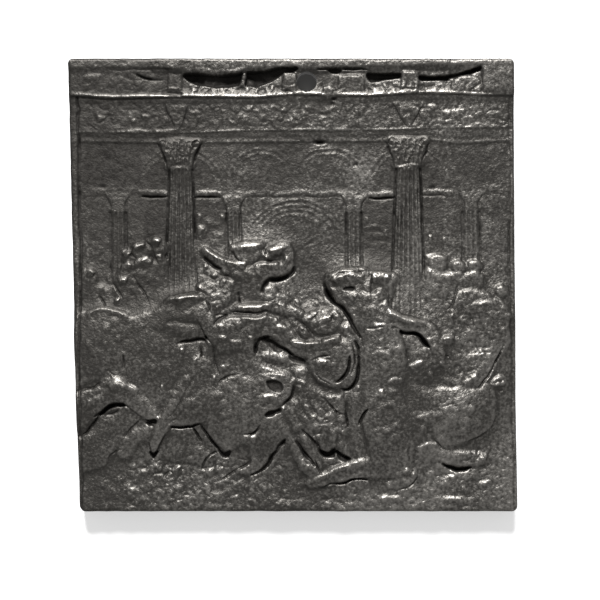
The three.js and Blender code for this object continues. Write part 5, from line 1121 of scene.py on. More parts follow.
curls(0.08, 0.26, 20, 1.0, -3.8, 1.2, 1.4, 93)
curls(0.07, 0.26, 16, 4.6, -11.2, 2.0, 1.2, 94)
tell("fighter with a round shield")

# %% [markdown]
# ### Leg on the ground
#
# A leg of a fallen man lies along the ground.

# %% Leg on the ground
figure(0.35, [
    limb(3.5, 0.25, [[2.4, -26.4, 0.6], [4.4, -25.8, 0.9], [6.4, -25.0, 1.1], [8.6, -24.5, 1.3],
      [10.8, -24.2, 1.5], [13, -24.2, 1.6]]),
])
lights(0.18, [[[2.5, -25.9], [3.4, -25.4], [4.5, -24.7], [5.6, -24.2], [7, -23.9], [8.2, -23.6],
  [9.9, -22.9]]])
lines(0.75, 0.19, [[[4.1, -26.9], [5.0, -26.5], [6.4, -26.4], [7.6, -25.95], [8.8, -25.9],
  [9.9, -26.0]]])
tell("leg on the ground")

# %% [markdown]
# ### Tall man at the right
#
# The tall man is the highest form. An arm reaches down across the chest, and back and thighs are
# long smooth swellings, so the whole figure is one mass with three knobs.

# %% Tall man at the right
figure(0.4, [
    mass(3.75, 2.0, 0.7, [[8.2, -0.9], [9.2, -1.0], [10.4, -1.2], [11.4, -0.8], [12.4, -1.5],
      [12.9, -3.2], [15.4, -4.3], [17.9, -4.9], [18.4, -6.4], [17.4, -6.9], [15.6, -6.0],
      [14.2, -6.0], [14.9, -8.6], [15.1, -11.6], [14.8, -14.6], [16.6, -17.2], [17.8, -19.2],
      [16.2, -21.8], [15.6, -24.4], [13.8, -25.6], [11.0, -24.8], [10.0, -22.8], [9.3, -19.8],
      [9.0, -18.2], [8.9, -14.6], [9.0, -10.2], [8.9, -7.0], [7.8, -5.4], [7.1, -3.7], [7.2, -2]]),
    knob(4.0, 0.6, 10.9, -3.4, 2.0, 2.3),
    knob(3.95, 0.6, 12.2, -9.5, 2.6, 3.4),
    knob(3.95, 0.6, 12.2, -18.0, 3.2, 4.6),
])
figure(0.4, [
    limb(4.0, 0.5, [[12.2, -4.4, 1.1], [14.0, -5.0, 1.05], [16.0, -5.5, 1.0], [17.6, -6.2, 1.1],
      [18.6, -7.6, 1.0], [19.2, -9.0, 0.8], [19.0, -10.4, 0.7]]),
])
pocket(1.8, 0.25, [[14.1, -6.2], [15.0, -6.5], [16.2, -6.6], [17.2, -7.4], [17.9, -8.4],
  [17.2, -8.2], [16.4, -7.4], [15.4, -7.0], [14.6, -6.9]])
figure(0.35, [
    limb(3.5, 0.5, [[5.0, 0.7, 0.9], [6.6, 0.9, 1.1], [8.4, 1.1, 1.0], [9.4, 1.4, 0.7]]),
    limb(3.35, 0.5, [[10.6, 1.1, 0.7], [11.8, 1.0, 0.8], [13.0, 0.9, 0.7]]),
    limb(3.3, 0.5, [[9.5, 1.6, 0.6], [9.6, 0.4, 0.7], [9.8, -0.8, 0.6]]),
    mass(3.25, 0.8, 0.6, [[4.2, 0.4], [5.2, -0.6], [6.6, 0.0], [8.8, 0.2], [9.2, -1.4],
      [8.8, -3.4], [7.6, -3.8], [6.6, -3.2], [5.4, -1.8]]),
    knob(3.5, 0.7, 7.6, -2.2, 1.1, 1.3),
    mass(2.9, 0.5, 0.3, [[10.2, 0.4], [13.2, 0.4], [13.1, -2.0], [11.4, -0.6], [10.2, -0.8]]),
])
pocket(2.7, 0.2, [[6.5, -0.7], [7.2, -0.4], [8.0, -0.4], [8.1, -0.7], [7.6, -0.85], [6.9, -0.85]])
place(limb(3.35, 0.4, [[8.2, -15.4, 1.2], [8.4, -18.0, 1.2], [8.6, -20.5, 1.0], [9.0, -22.6, 0.9]]))
lines(0.9, 0.3, [[[3.9, 0.2], [4.3, -0.9], [4.9, -2.0], [5.7, -2.8], [6.6, -3.4], [7.2, -4.3],
  [7.7, -5.3], [8.3, -6.2], [9.0, -7.1]]])
lines(0.8, 0.5, [[[4.2, -0.7], [4.7, -1.7], [5.5, -2.7]]])
lines(0.8, 0.3, [[[14.1, -6.2], [15, -6.6], [15.9, -6.6], [16.6, -7.1], [17.3, -7.8],
  [17.9, -8.5]]])
lines(0.25, 0.16, [[[12.9, -5.9], [13.6, -5.8], [14.2, -6.1]], [[12.7, -1.6], [12.8, -2.6],
  [12.6, -3.4]], [[10.4, 0.8], [10.3, -0.4]], [[9.1, -18.5], [9.2, -20], [9.5, -21.2],
  [9.9, -22.8]], [[15.0, -8.8], [15.1, -10.0]], [[15.4, -21.6], [15.4, -24.2]], [[9.4, -5.8],
  [10.6, -5.9], [12.0, -5.7]]])
lines(0.7, 0.26, [[[9.9, -16.5], [9.4, -17.2], [9.0, -18.0], [8.7, -18.6]]])
lights(0.45, [[[4.5, 0.6], [5.2, 1.3], [6.2, 1.65], [7.2, 1.6], [8.2, 1.7]], [[10.3, 1.5],
  [11.6, 1.7], [13.0, 1.3]], [[12.5, -3.4], [13.2, -3.6], [13.9, -4.0], [14.6, -4.3], [15.3, -4.4],
  [16.2, -4.7], [17.5, -5.2]]])
lights(0.2, [[[5.0, 0.5], [5.9, 0.9], [6.8, 0.7]], [[7.3, 0.9], [8.3, 0.9]], [[8.6, 1.9],
  [9.1, 2.2], [9.7, 2.0]], [[9.0, -1.0], [9.6, -1.3], [10.2, -1.3]], [[10.9, -0.9], [11.9, -0.8]],
  [[12.5, -13.0], [13.3, -12.6], [14.4, -12.7]], [[11.2, -14.2], [11.8, -14.1]], [[15.2, -11.0],
  [16.2, -10.5], [17.1, -10.2]], [[10.6, -5.6], [11.6, -5.4], [12.4, -5.6]], [[17.9, -11.8],
  [18.4, -11.8]], [[7.0, -1.5], [7.7, -1.3], [8.4, -1.5]], [[19.2, -10.6], [20.2, -10.5]]])
lights(0.08, [[[12.6, -14.4], [13.6, -14.2], [14.6, -14.4]], [[10.2, -9.4], [11.4, -9.1],
  [12.8, -9.4]], [[10.4, -19.6], [11.6, -19.2], [13, -19.6]]])
lights(0.32, [[[4.8, 0.3], [5.8, 0.9], [7.0, 1.0], [8.4, 1.1], [9.4, 1.2]], [[10.4, 1.0],
  [11.6, 1.2], [12.8, 0.9]], [[12.6, -3.8], [13.6, -4.2], [15, -4.7], [16.6, -5.1]]])
curls(0.12, 0.28, 26, 7.0, 1.0, 2.4, 0.6, 101)
curls(0.1, 0.26, 14, 11.6, 1.0, 1.3, 0.5, 102)
curls(0.06, 0.26, 20, 11.0, -3.2, 1.7, 1.9, 103)
curls(0.07, 0.28, 34, 17.0, -11.6, 2.2, 1.6, 104)
tell("tall man at the right")

# %% [markdown]
# ### Fallen bodies
#
# At the right a heavy body has gone down over the ground, with limbs under it.

# %% Fallen bodies
figure(0.45, [
    mass(3.4, 1.5, 0.75, [[15.4, -12.2], [17.4, -13.4], [19.1, -13.9], [20.4, -13.7],
      [22.4, -13.4], [24.4, -13.6], [25.6, -12.9], [26.6, -14.2], [27.0, -16.4], [26.6, -18.8],
      [25.3, -20.2], [23.0, -21.2], [20.2, -21.8], [18.8, -21.0], [18.0, -19.4], [16.6, -18.9],
      [15.4, -17.6], [14.8, -14.6]]),
    knob(3.8, 0.7, 22.6, -17.4, 3.6, 2.8, 10),
    knob(3.6, 0.5, 17.4, -17.9, 1.6, 0.8, 15),
])
figure(0.35, [
    mass(3.0, 1.2, 0.3, [[15.6, -21.9], [18.4, -21.2], [21, -22], [24, -22.4], [25.8, -23.6],
      [23.6, -24.2], [21, -24.0], [18.6, -23.4], [16, -23.6]]),
    mass(2.68, 1.0, 0.3, [[16.8, -25.6], [19.6, -25.9], [22, -25.3], [23.8, -24.8], [24.2, -26],
      [21.6, -27.2], [18, -27.0]]),
    mass(3.1, 0.8, 0.5, [[12.0, -26.8], [13.6, -25.2], [15.0, -24.6], [16.6, -24.7], [16.4, -26.0],
      [15.0, -27.2], [12.4, -27.6]]),
])
pocket(1.9, 0.25, [[19.6, -23.9], [21.0, -24.2], [23.6, -24.3], [22.6, -24.8], [21.4, -24.8],
  [20.2, -24.4]])
place(knob(3.0, 0.4, 27.2, -12.9, 1.1, 0.6, 15))
place(limb(2.9, 0.5, [[11.6, -28.6, 0.4], [13, -28.5, 0.55], [14.4, -28.6, 0.4]]))
place(limb(2.9, 0.5, [[19.6, -28.7, 0.4], [21.2, -28.6, 0.5], [22.9, -28.7, 0.4]]))
lines(0.1, 0.16, [[[15.8, -17.7], [16.8, -17.4], [17.8, -17.2], [18.6, -16.5], [20, -16.2],
  [21.5, -15.8], [22.7, -15.3]]])
lines(0.25, 0.16, [[[18.0, -19], [18.4, -19.8], [18.7, -20.6], [19.4, -21.3], [20.0, -22.0]],
  [[16.7, -24.8], [16.4, -25.8], [15.7, -26.6], [14.8, -27.2], [13, -27.7]]])
lines(0.3, 0.22, [[[26.9, -16], [26.9, -17.6], [26.5, -18.8], [25.8, -19.6], [25.0, -20.2],
  [23.8, -20.7], [22.5, -21.1]], [[26.9, -14.0], [27.3, -14.3], [27.8, -14.2]]])
lines(0.7, 0.25, [[[19.5, -24.0], [20.6, -24.3], [21.6, -24.6], [22.6, -24.6], [23.7, -24.3]]])
lights(0.14, [[[18.9, -14.1], [20, -13.85], [21, -13.95], [22.4, -13.5]], [[22.8, -12.9],
  [23.6, -12.5], [24.3, -12.0]]])
lights(0.2, [[[16.2, -21.8], [17.2, -21.4], [18.4, -21.1], [19.2, -21.2]]])
lights(0.12, [[[11.6, -28.5], [12.5, -28.3], [14.3, -28.3]], [[19.9, -28.3], [21.2, -28.35],
  [22.6, -28.3]], [[19.7, -25.9], [21, -25.6], [22.4, -25.2], [23.5, -24.9]], [[13.3, -25.4],
  [14.2, -24.9], [15.2, -24.7], [16.3, -24.6]], [[12.2, -26.5], [13.0, -26.2]], [[26.5, -13.6],
  [27.4, -13.2]], [[24.6, -22.6], [25.8, -22.9]]])
lights(0.07, [[[17.2, -23.9], [18.4, -23.3], [19.6, -23.4], [20.7, -24.0]], [[21.4, -16.8],
  [22.6, -16.4], [24.0, -16.6]], [[22, -18.4], [23.6, -18.0], [25, -18.4]]])
curls(0.07, 0.28, 50, 25.0, -23.4, 3.0, 2.6, 111)
curls(0.06, 0.28, 26, 14.6, -25.6, 1.9, 1.0, 112, 30)
curls(0.07, 0.26, 40, 28.0, -17.0, 0.9, 4.0, 113)
tell("fallen bodies")

# %% [markdown]
# ### Stones of the ground
#
# A few soft edges and lumps break up the floor under the bodies.

# %% Stones of the ground
lights(0.12, [[[-19.6, -24.5], [-18.8, -24.3], [-17.9, -24.4]], [[-16, -24.6], [-15.2, -24.3],
  [-14.6, -24.5]], [[-12.8, -25.9], [-12.0, -25.7]], [[-11.4, -24.6], [-10.4, -24.3],
  [-9.4, -24.5]], [[-14, -23.2], [-13.4, -23.0]], [[-17, -26.8], [-16, -26.6]], [[-8.6, -28.4],
  [-7.4, -28.2]], [[-25.0, -29.6], [-24.4, -29.9]], [[24.6, -26.4], [26.4, -26.2]],
  [[-21.8, -27.4], [-20.6, -27.2]]])
lines(0.08, 0.3, [[[28.2, -22.8], [28.9, -23.2]], [[-26, -25.4], [-23.5, -26.2], [-21, -26.0]],
  [[-3, -28.2], [-0.6, -28.6], [2, -28.2]], [[4, -28.6], [7, -28.2]]])
curls(0.09, 0.3, 70, -13.6, -23.6, 5.2, 1.8, 121)
curls(0.08, 0.32, 110, -12, -27.4, 15, 1.8, 122)
curls(0.06, 0.3, 60, 15, -28.6, 13, 1.0, 123)
tell("stones of the ground")

# %% [markdown]
# ### Soft muscles
#
# Bodies, cloth and ground are nowhere plain: muscles and folds swell softly all over them. Broad low
# lumps, sown over an oval on each body, give that without a drawing of every muscle.

# %% Soft muscles
for k, (x0, z0, rx, rz, count) in enumerate((
    (11.4, -3.6, 1.8, 2.2, 9), (12.0, -9.5, 2.0, 2.6, 9), (12.2, -17.5, 2.2, 4.2, 12),
    (20.5, -17.8, 4.8, 2.6, 14), (-24.5, -8.6, 3.2, 3.8, 12), (-14.6, -3.4, 2.4, 1.3, 7),
    (-7.0, -15.6, 4.0, 2.8, 14), (-6.2, -5.8, 3.2, 0.9, 7), (-5.4, 1.0, 2.2, 1.0, 6),
    (21.6, -11.6, 3.2, 1.4, 9), (23.4, -5.4, 3.2, 3.2, 14), (-21.6, 0.4, 3.4, 3.0, 14),
    (-26.6, -16.4, 2.0, 1.0, 5), (-14.6, -14.2, 1.6, 2.4, 6), (4.4, -18.6, 2.6, 3.0, 12),
    (-15, -26.4, 11, 2.4, 26), (20, -25.6, 7, 2.6, 18))):
    curls(0.17, 1.2, count, x0, z0, rx, rz, 200 + k)
tell("soft muscles")

# %% [markdown]
# ## From full steps to low relief
#
# So far a shoulder drops straight to the wall behind it. A low relief squeezes that drop: small
# swellings keep their height, and big steps are cut much shallower than they should be. Here the
# broad lie of the land is a blurred copy of the sheet, and what stands out from it goes through a
# curve that levels off. The cuts are taken away afterwards, so the dark lines stay crisp.

# %% Squeeze the steps
STEP_LIMIT = 0.17  # mm that a form can stand out from its surroundings
SURROUNDINGS = 2.2  # mm, the reach of the broad blur

side_rims()
broad = blur(form, SURROUNDINGS)
proud = form - broad
squeezed = broad + STEP_LIMIT * np.tanh(proud / STEP_LIMIT)
building = clamp((Z - 18.6) / 0.8, 0, 1)
low_relief = squeezed + (form - squeezed) * building
print("steps go from", round(float(np.abs(proud).max()), 2), "mm to", STEP_LIMIT, "mm at most")

# %% Soften, then cut the lines
WORN, CRISP, LINE_EDGE = 0.16, 0.06, 0.04  # blur of figures, of the building and of cut lines
CUT_DEPTH = 0.75

soft = blur(low_relief, WORN)
ragged = np.where(cut > 0, clamp(0.95 + 0.45 * grain(0.5), 0.65, 1.2), 1)
relief = soft + (blur(low_relief, CRISP) - soft) * building
relief -= blur(cut * ragged, LINE_EDGE) * CUT_DEPTH
print("relief from", round(float(relief.min()), 2), "to", round(float(relief.max()), 2), "mm")

# %% [markdown]
# ## Casting skin
#
# The metal was poured into sand or plaster, so its skin is nowhere smooth. Three sizes of grain, fine
# creases and small raised knocks lie over everything, and the knocks are painted bright as glints.
# They are stronger in rough patches: on the slope above the cornice, on hair and on the ground. A few
# pits are set where the casting is flawed.

# %% Where the skin is rough
def patch(x0, x1, z0, z1, soft=0.6):
    """1 inside a box, fading to 0 outside it."""
    return (clamp((X - x0) / soft + 0.5, 0, 1) * clamp((x1 - X) / soft + 0.5, 0, 1)
            * clamp((Z - z0) / soft + 0.5, 0, 1) * clamp((z1 - Z) / soft + 0.5, 0, 1))


fine, middling, slow = grain(0.14), grain(0.28), grain(1.1)
rough_patches = [
    # strength, left, right, foot, top
    (0.85, -14, 6.4, 25.3, 26.6), (0.8, 10, 25, 25.5, 26.8), (0.3, -28, 29, 20.8, 24.2),
    (0.12, -30, 30, 28, 31), (0.2, -28, -15, 25.3, 28), (1.0, 23.5, 26, -23.4, -21.9),
    (0.8, 2.6, 5.4, -4.8, -3.7), (0.7, -20, -14.6, -25.6, -24), (0.7, -12, -9.6, -25.2, -23.8),
    (0.8, 14.2, 16.6, -25.4, -24.4), (0.5, 24.2, 26.2, -9.8, -8.6),
    (0.6, 26.3, 28.2, -13.6, -12.2), (0.2, 17, 28.5, -13.5, 0), (0.25, -4, 8, -11, -1),
    (0.35, -12.6, -7, -4, 2.5), (0.25, 0, 7, -22, -14), (0.1, -28, -17, -3, 5.5),
    (0.3, -22, 28, -30, -23),
]
rough = 0.6 * patch(4.4, 9.7, 0.7, 2.0, 0.4) + 0.5 * patch(10.1, 13, 0.7, 1.7, 0.4)
for strength, x0, x1, z0, z1 in rough_patches:
    rough += strength * patch(x0, x1, z0, z1)
print("the roughest place is", round(float(rough.max()), 2), "on a scale of 1")

# %% Grain, creases, knocks and pits
relief += fine * (0.012 + 0.07 * rough) + middling * (0.03 + 0.05 * rough) + slow * 0.04
creases = clamp(1 - np.abs(grain(0.4)) / 0.22, 0, 1)
relief -= creases * (0.02 + 0.13 * rough)
glints = clamp(1.6 * grain(0.14) - 1.1, 0, 1) * (0.08 + 0.8 * rough)
relief += 0.12 * glints
# The knocks are painted bright as glints, and the bright edges are broken up.
wear_and_painted_highlight = np.maximum(wear_and_painted_highlight * clamp(0.95 + 0.5 * grain(0.4), 0.4, 1), glints)
for x, z, wide, deep in ((3.5, 19.0, 0.75, 0.6), (5.4, 24.7, 0.3, 0.4), (5.2, 24.1, 0.25, 0.3),
                         (8.3, 16.0, 0.3, 0.25), (18.6, 12.9, 0.3, 0.25), (-25.4, 13.0, 0.35, 0.2)):
    relief -= deep * np.exp(-((X - x) / wide) ** 2 - ((Z - z) / 0.22) ** 2)
print("relief from", round(float(relief.min()), 2), "to", round(float(relief.max()), 2), "mm")

# %% [markdown]
# ## From heights to a closed mesh
#
# The real outline isn't a true square: the left side leans and bows, and the corners are worn
# round. So the mesh is a grid of its own, stretched between those sides, and it reads its heights
# from the sheet. Near the outline the heights roll off, because the front edge of a handled
# casting is never sharp. The four sides and the flat back close it.

# %% Outline of the sheet
INSIDE = 0.05  # mm that the top and foot keep inside the frame's box
FOOT, TOP = (round(corner[2] * 1000 + step, 2)
             for corner, step in zip(frame_box, (INSIDE, -INSIDE)))
CORNER = 0.9


def left_side(z):
    t = (TOP - z) / (TOP - FOOT)
    lean, bow = 1.7, 0.15
    return -30.1 + lean * t - bow * np.sin(np.pi * clamp(t, 0, 1))


def right_side(z):
    return 29.4 + 0.4 * (TOP - z) / (TOP - FOOT)


print("outline from", FOOT, "to", TOP, "mm, and", round(right_side(TOP) - left_side(TOP), 1),
      "mm wide at the top")

# %% Rounded corners and the grid
COLUMNS = 560
ROWS = 560


def rounded(from_side, from_end):
    """Draws points near a corner in, and leaves the two sides straight."""
    p, q = 1 - from_side / CORNER, 1 - from_end / CORNER
    near = (p > 0) & (q > 0)
    p0, q0 = np.maximum(p, 0), np.maximum(q, 0)
    a = CORNER * (1 - p0 * np.sqrt(1 - q0 * q0 / 2))
    b = CORNER * (1 - q0 * np.sqrt(1 - p0 * p0 / 2))
    return np.where(near, a, from_side), np.where(near, b, from_end)


u, v = np.meshgrid(np.linspace(0, 1, COLUMNS), np.linspace(0, 1, ROWS))
z_line = FOOT + (TOP - FOOT) * v
width = right_side(z_line) - left_side(z_line)
from_side, from_end = rounded(width * np.minimum(u, 1 - u), np.minimum(z_line - FOOT, TOP - z_line))
gx = np.where(u < 0.5, left_side(z_line) + from_side, right_side(z_line) - from_side)
gz = np.where(v < 0.5, FOOT + from_end, TOP - from_end)
print("grid of", gx.size, "points")

# %% Heights on the grid
EDGE_ROLL = 0.45  # radius of the worn front edge


def read(sheet, x, z):
    """The value of a sheet between its points."""
    i = clamp((x - xs[0]) / SPACING, 0, len(xs) - 1.001)
    j = clamp((z - zs[0]) / SPACING, 0, len(zs) - 1.001)
    i0, j0 = i.astype(int), j.astype(int)
    s, t = i - i0, j - j0
    low = sheet[j0, i0] * (1 - s) + sheet[j0, i0 + 1] * s
    high = sheet[j0 + 1, i0] * (1 - s) + sheet[j0 + 1, i0 + 1] * s
    return low * (1 - t) + high * t


edge = np.minimum(from_side, from_end)
nicks = read(blur(rng.standard_normal(X.shape), 0.5) * 5, gx, gz)
roll = EDGE_ROLL * (1 + 0.5 * clamp(nicks, -1, 1.5))
heights = read(relief, gx, gz) - 0.85 * roll * ball(clamp(1 - edge / roll, 0, 1))
print("heights on the grid from", round(float(heights.min()), 2), "mm up")

# %% The closed body
front = np.stack([gx, -heights, gz], axis=-1).reshape(-1, 3)
index = np.arange(ROWS * COLUMNS).reshape(ROWS, COLUMNS)
a, b = index[:-1, :-1].ravel(), index[:-1, 1:].ravel()
c, d = index[1:, 1:].ravel(), index[1:, :-1].ravel()
faces = np.stack([a, b, c, d], axis=1).tolist()
loop = np.concatenate([index[0, :-1], index[:-1, -1], index[-1, :0:-1], index[:0:-1, 0]])
back = front[loop] * (1, 0, 1)
first = len(front)
count = len(loop)
for k in range(count):
    m = (k + 1) % count
    faces.append([int(loop[m]), int(loop[k]), first + k, first + m])
faces.append([first + k for k in range(count)][::-1])
mesh = bpy.data.meshes.new("relief_plaque")
mesh.from_pydata((np.concatenate([front, back]) * 0.001).tolist(), [], faces)
mesh.validate()
plaque = bpy.data.objects.new("relief_plaque", mesh)
bpy.context.collection.objects.link(plaque)
print("body of", len(mesh.vertices), "points")

# %% [markdown]
# ## Fewer triangles, and the cord hole
#
# The grid is as fine on the plain wall as in the hair. Decimate merges triangles where the surface
# is nearly flat, which keeps the carving and leaves a third of the count. A Boolean then bores the
# hole right through, as a drill did on the real one.

# %% Thin out
TRIANGLES = 196000


def bake(obj):
    """Replaces the object's mesh by what its modifiers make of it."""
    graph = bpy.context.evaluated_depsgraph_get()
    made = bpy.data.meshes.new_from_object(obj.evaluated_get(graph))
    obj.modifiers.clear()
    obj.data = made
    return made


thin = plaque.modifiers.new("thin out", "DECIMATE")
thin.ratio = TRIANGLES / (2 * (ROWS - 1) * (COLUMNS - 1))
thin.use_collapse_triangulate = True
bake(plaque)
print("thinned to", len(plaque.data.polygons), "faces")

# %% Drill the hole
HOLE_X, HOLE_Z, HOLE_RADIUS = 1.75, 27.0, 1.35
bpy.ops.mesh.primitive_cylinder_add(vertices=96, radius=HOLE_RADIUS / 1000, depth=0.02,
                                    location=(HOLE_X / 1000, 0, HOLE_Z / 1000),
                                    rotation=(math.pi / 2, 0, 0))
drill = bpy.context.object
bore = plaque.modifiers.new("bore", "BOOLEAN")
bore.operation = "DIFFERENCE"
bore.object = drill
bore.solver = "MANIFOLD"
made = bake(plaque)
bpy.data.objects.remove(drill)
made.shade_smooth()
made.set_sharp_from_angle(angle=math.radians(60))
print("plaque of", len(made.polygons), "faces")

# %% [markdown]
# ## Tone, wear and painted light, read from the relief
#
# Hands and polishing wear the high edges bright, and the upper edges are painted brighter still, as
# painted highlight; the deep hollows are painted dark, as painted shade. How far a point stands
# out from its surroundings is already in the sheet, so a point is also a little lighter on a crest
# and darker in a crease. All of it is written on the mesh as an attribute that the material can
# read. The tone is also a little darker at the upper left and lighter at the right and the foot,
# and cloudy all over.

# %% Tone, with painted shade in the hollows
LEAN = 0.08  # how far the tone shifts from one side to the other
upper_left = clamp(-X / 28, 0, 1) * clamp((Z + 5) / 20, 0, 1)
rim_top = clamp((Z - 28.6) / 0.4, 0, 1)
cloud = 0.03 * blur(grain(1.1), 1.2) / 0.3
# The hollows are darkened here as painted shade.
tone_and_painted_shade = LEAN * (X / 30 - Z / 30 - upper_left + rim_top) - 0.2 * painted_shade + cloud
stand_out = clamp((relief - blur(relief, 0.4)) * 1.3, -0.5, 0.1)
# The bright edges are lightened here, part wear and part painted highlight.
shade = 0.5 + stand_out + tone_and_painted_shade + 0.5 * wear_and_painted_highlight
print("tone from", round(float(shade.min()), 2), "to", round(float(shade.max()), 2))

# %% Write the attribute of wear and painted light
points = np.empty(len(made.vertices) * 3, np.float32)
made.vertices.foreach_get("co", points)
points = points.reshape(-1, 3) * 1000
on_front = points[:, 1] < -0.3
wear_and_painted_light = np.where(on_front, clamp(read(shade, points[:, 0], points[:, 2]), 0, 1), 0.5)
layer = made.attributes.new("wear_and_painted_light", "FLOAT", "POINT")
layer.data.foreach_set("value", wear_and_painted_light.astype(np.float32))
print("wear from", round(float(wear_and_painted_light.min()), 2), "to", round(float(wear_and_painted_light.max()), 2))

# %% [markdown]
# ## Shader expressions
#
# Node trees are easier to read as sums. A small class wraps a socket, so that `1 - mask * 0.5` adds
# the Math nodes it needs, and one method adds any other node.

# %% A socket that can be added and multiplied
class Socket:
    def __init__(self, tree, link):
        self.tree, self.link = tree, link

    def node(self, kind, settings=None, **inputs):
        """Adds a node: its settings first, then its sockets by name, or by number as in i0."""
        made = self.tree.nodes.new(kind)
        for key, value in (settings or {}).items():
            if key == "stops":
                ramp = made.color_ramp.elements
                while len(ramp) < len(value):
                    ramp.new(0.5)
                for element, (place_at, colour) in zip(ramp, value):
                    element.position, element.color = place_at, (*colour, 1)
            else:
                setattr(made, key, value)
        for key, value in inputs.items():
            numbered = key[0] == "i" and key[1:].isdigit()
            slot = made.inputs[int(key[1:]) if numbered else key.replace("_", " ")]
            if isinstance(value, Socket):
                self.tree.links.new(value.link, slot)
            else:
                slot.default_value = value
        return made

    def math(self, operation, *values):
        made = self.node("ShaderNodeMath", {"operation": operation},
                         **{f"i{k}": value for k, value in enumerate(values)})
        return Socket(self.tree, made.outputs[0])

    def __add__(self, other):
        return self.math("ADD", self, other)

    def __radd__(self, other):
        return self.math("ADD", other, self)

    def __sub__(self, other):
        return self.math("SUBTRACT", self, other)

    def __rsub__(self, other):
        return self.math("SUBTRACT", other, self)

    def __mul__(self, other):
        return self.math("MULTIPLY", self, other)

    def __rmul__(self, other):
        return self.math("MULTIPLY", other, self)

    def ramp(self, low, high, soft=0.1):
        """Rises from 0 at low to 1 at high, with soft ends."""
        rise = (self - low) * (1 / (high - low))
        return self.math("SMOOTH_MIN", self.math("SMOOTH_MAX", rise, 0.0, soft), 1.0, soft)

    def noise(self, scale, detail=3.0, roughness=0.55):
        made = self.node("ShaderNodeTexNoise", None, Vector=self, Scale=scale, Detail=detail,
                         Roughness=roughness)
        return Socket(self.tree, made.outputs["Fac"])


print("operators:", [name for name in vars(Socket) if name.startswith("__r")])

# %% [markdown]
# ## Patinated bronze
#
# The metal is bronze under a dark brown-black patina. Edges painted bright, part wear and part
# painted highlight, are lighter and smoother, and hollows painted dark, partly as painted shade, are
# darker and rough. Over that lie faint cloudy patches, and a fine bump gives the sparkle of a cast
# skin in low light.

# %% The metal and what it reads
metal = bpy.data.materials.new("patinated_metal")
metal.use_nodes = True
tree = metal.node_tree
shader = tree.nodes["Principled BSDF"]
coords = tree.nodes.new("ShaderNodeTexCoord")
place_on = Socket(tree, coords.outputs["Object"])
attribute = tree.nodes.new("ShaderNodeAttribute")
attribute.attribute_name = "wear_and_painted_light"
worn_and_painted_light = Socket(tree, attribute.outputs["Fac"])
CLOUD_SCALE, SPECK_SCALE, SKIN_SCALE = 90.0, 2700.0, 4200.0  # lumps to the metre

clouds = place_on.noise(CLOUD_SCALE, 3.0)
specks = (place_on.noise(SPECK_SCALE, 2.0) - 0.5) * 2.2
skin = place_on.noise(SKIN_SCALE, 2.0, 0.6)
# high grows on the edges painted bright, part wear and part painted highlight, and deep grows in the
# hollows painted dark, partly as painted shade.
high = worn_and_painted_light.ramp(0.6, 1.0)
deep = 1 - worn_and_painted_light.ramp(0.05, 0.5)
print("patterns take", len(tree.nodes), "nodes")

# %% Colour, gloss and sparkle
# The lightest colour is bare metal and painted highlight.
HOLLOW, PATINA, BARE_AND_HIGHLIGHT = (0.024, 0.022, 0.020), (0.070, 0.066, 0.060), (0.42, 0.40, 0.37)
SPARKLE = 0.000055  # metres, the height of the finest skin
tone = clouds * 0.3 + specks * 0.26 + 0.26 + (worn_and_painted_light - 0.5) * 0.75 + high * 0.12 - deep * 0.1
stops = ((0.0, HOLLOW), (0.4, PATINA), (1.0, BARE_AND_HIGHLIGHT))
colour = tone.node("ShaderNodeValToRGB", {"stops": stops}, Fac=tone)
tree.links.new(colour.outputs[0], shader.inputs["Base Color"])
rough_metal = 0.41 + deep * 0.3 - high * 0.08 + specks * 0.1
tree.links.new(rough_metal.link, shader.inputs["Roughness"])
shader.inputs["Metallic"].default_value = 0.85
shader.inputs["Specular IOR Level"].default_value = 0.4
bump = skin.node("ShaderNodeBump", None, Strength=1.0, Distance=SPARKLE,
                 Height=skin * 0.8 + specks * 0.5)
tree.links.new(bump.outputs[0], shader.inputs["Normal"])
made.materials.clear()
made.materials.append(metal)

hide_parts("plaque")
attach(plaque, "root")
print("metal has", len(tree.nodes), "nodes")

# %% [markdown]
# ## Stage
#
# The plaque hangs on a white wall that curves forward into a pale floor. The wall is only there
# for the camera: it takes the plaque's shadow, but it blocks no light, and from behind it is clear,
# so that the back can be looked at too.

# %% Wall and floor
GAP = 0.0006  # metres between the plaque's back and the wall
REACH = 1.2  # half the width of the stage, and its depth
BEND = 0.08  # radius of the curve between wall and floor
FLOOR = -0.16
sweep = [(GAP, 0.9), (GAP, FLOOR + BEND)]
for a in np.radians(np.arange(10, 91, 10)):
    sweep.append((GAP - BEND * (1 - math.cos(a)), FLOOR + BEND * (1 - math.sin(a))))
sweep.append((-REACH, FLOOR))
stage_points = [(x, y, z) for y, z in sweep for x in (-REACH, REACH)]
stage_faces = [[2 * k, 2 * k + 2, 2 * k + 3, 2 * k + 1] for k in range(len(sweep) - 1)]
stage_mesh = bpy.data.meshes.new("stage")
stage_mesh.from_pydata(stage_points, [], stage_faces)
stage_mesh.shade_smooth()
print("stage of", len(stage_faces), "faces")

# %% White paper, clear from behind
paper = bpy.data.materials.new("white_paper")
paper.use_nodes = True
nodes, links = paper.node_tree.nodes, paper.node_tree.links
white = nodes["Principled BSDF"]
white.inputs["Base Color"].default_value = (0.8, 0.8, 0.8, 1)
white.inputs["Roughness"].default_value = 0.9
white.inputs["Specular IOR Level"].default_value = 0.0
white.inputs["Emission Color"].default_value = (1, 1, 1, 1)
white.inputs["Emission Strength"].default_value = 0.45
clear = nodes.new("ShaderNodeBsdfTransparent")
side = nodes.new("ShaderNodeNewGeometry")
either = nodes.new("ShaderNodeMixShader")
links.new(side.outputs["Backfacing"], either.inputs[0])
links.new(white.outputs[0], either.inputs[1])
links.new(clear.outputs[0], either.inputs[2])
links.new(either.outputs[0], nodes["Material Output"].inputs[0])


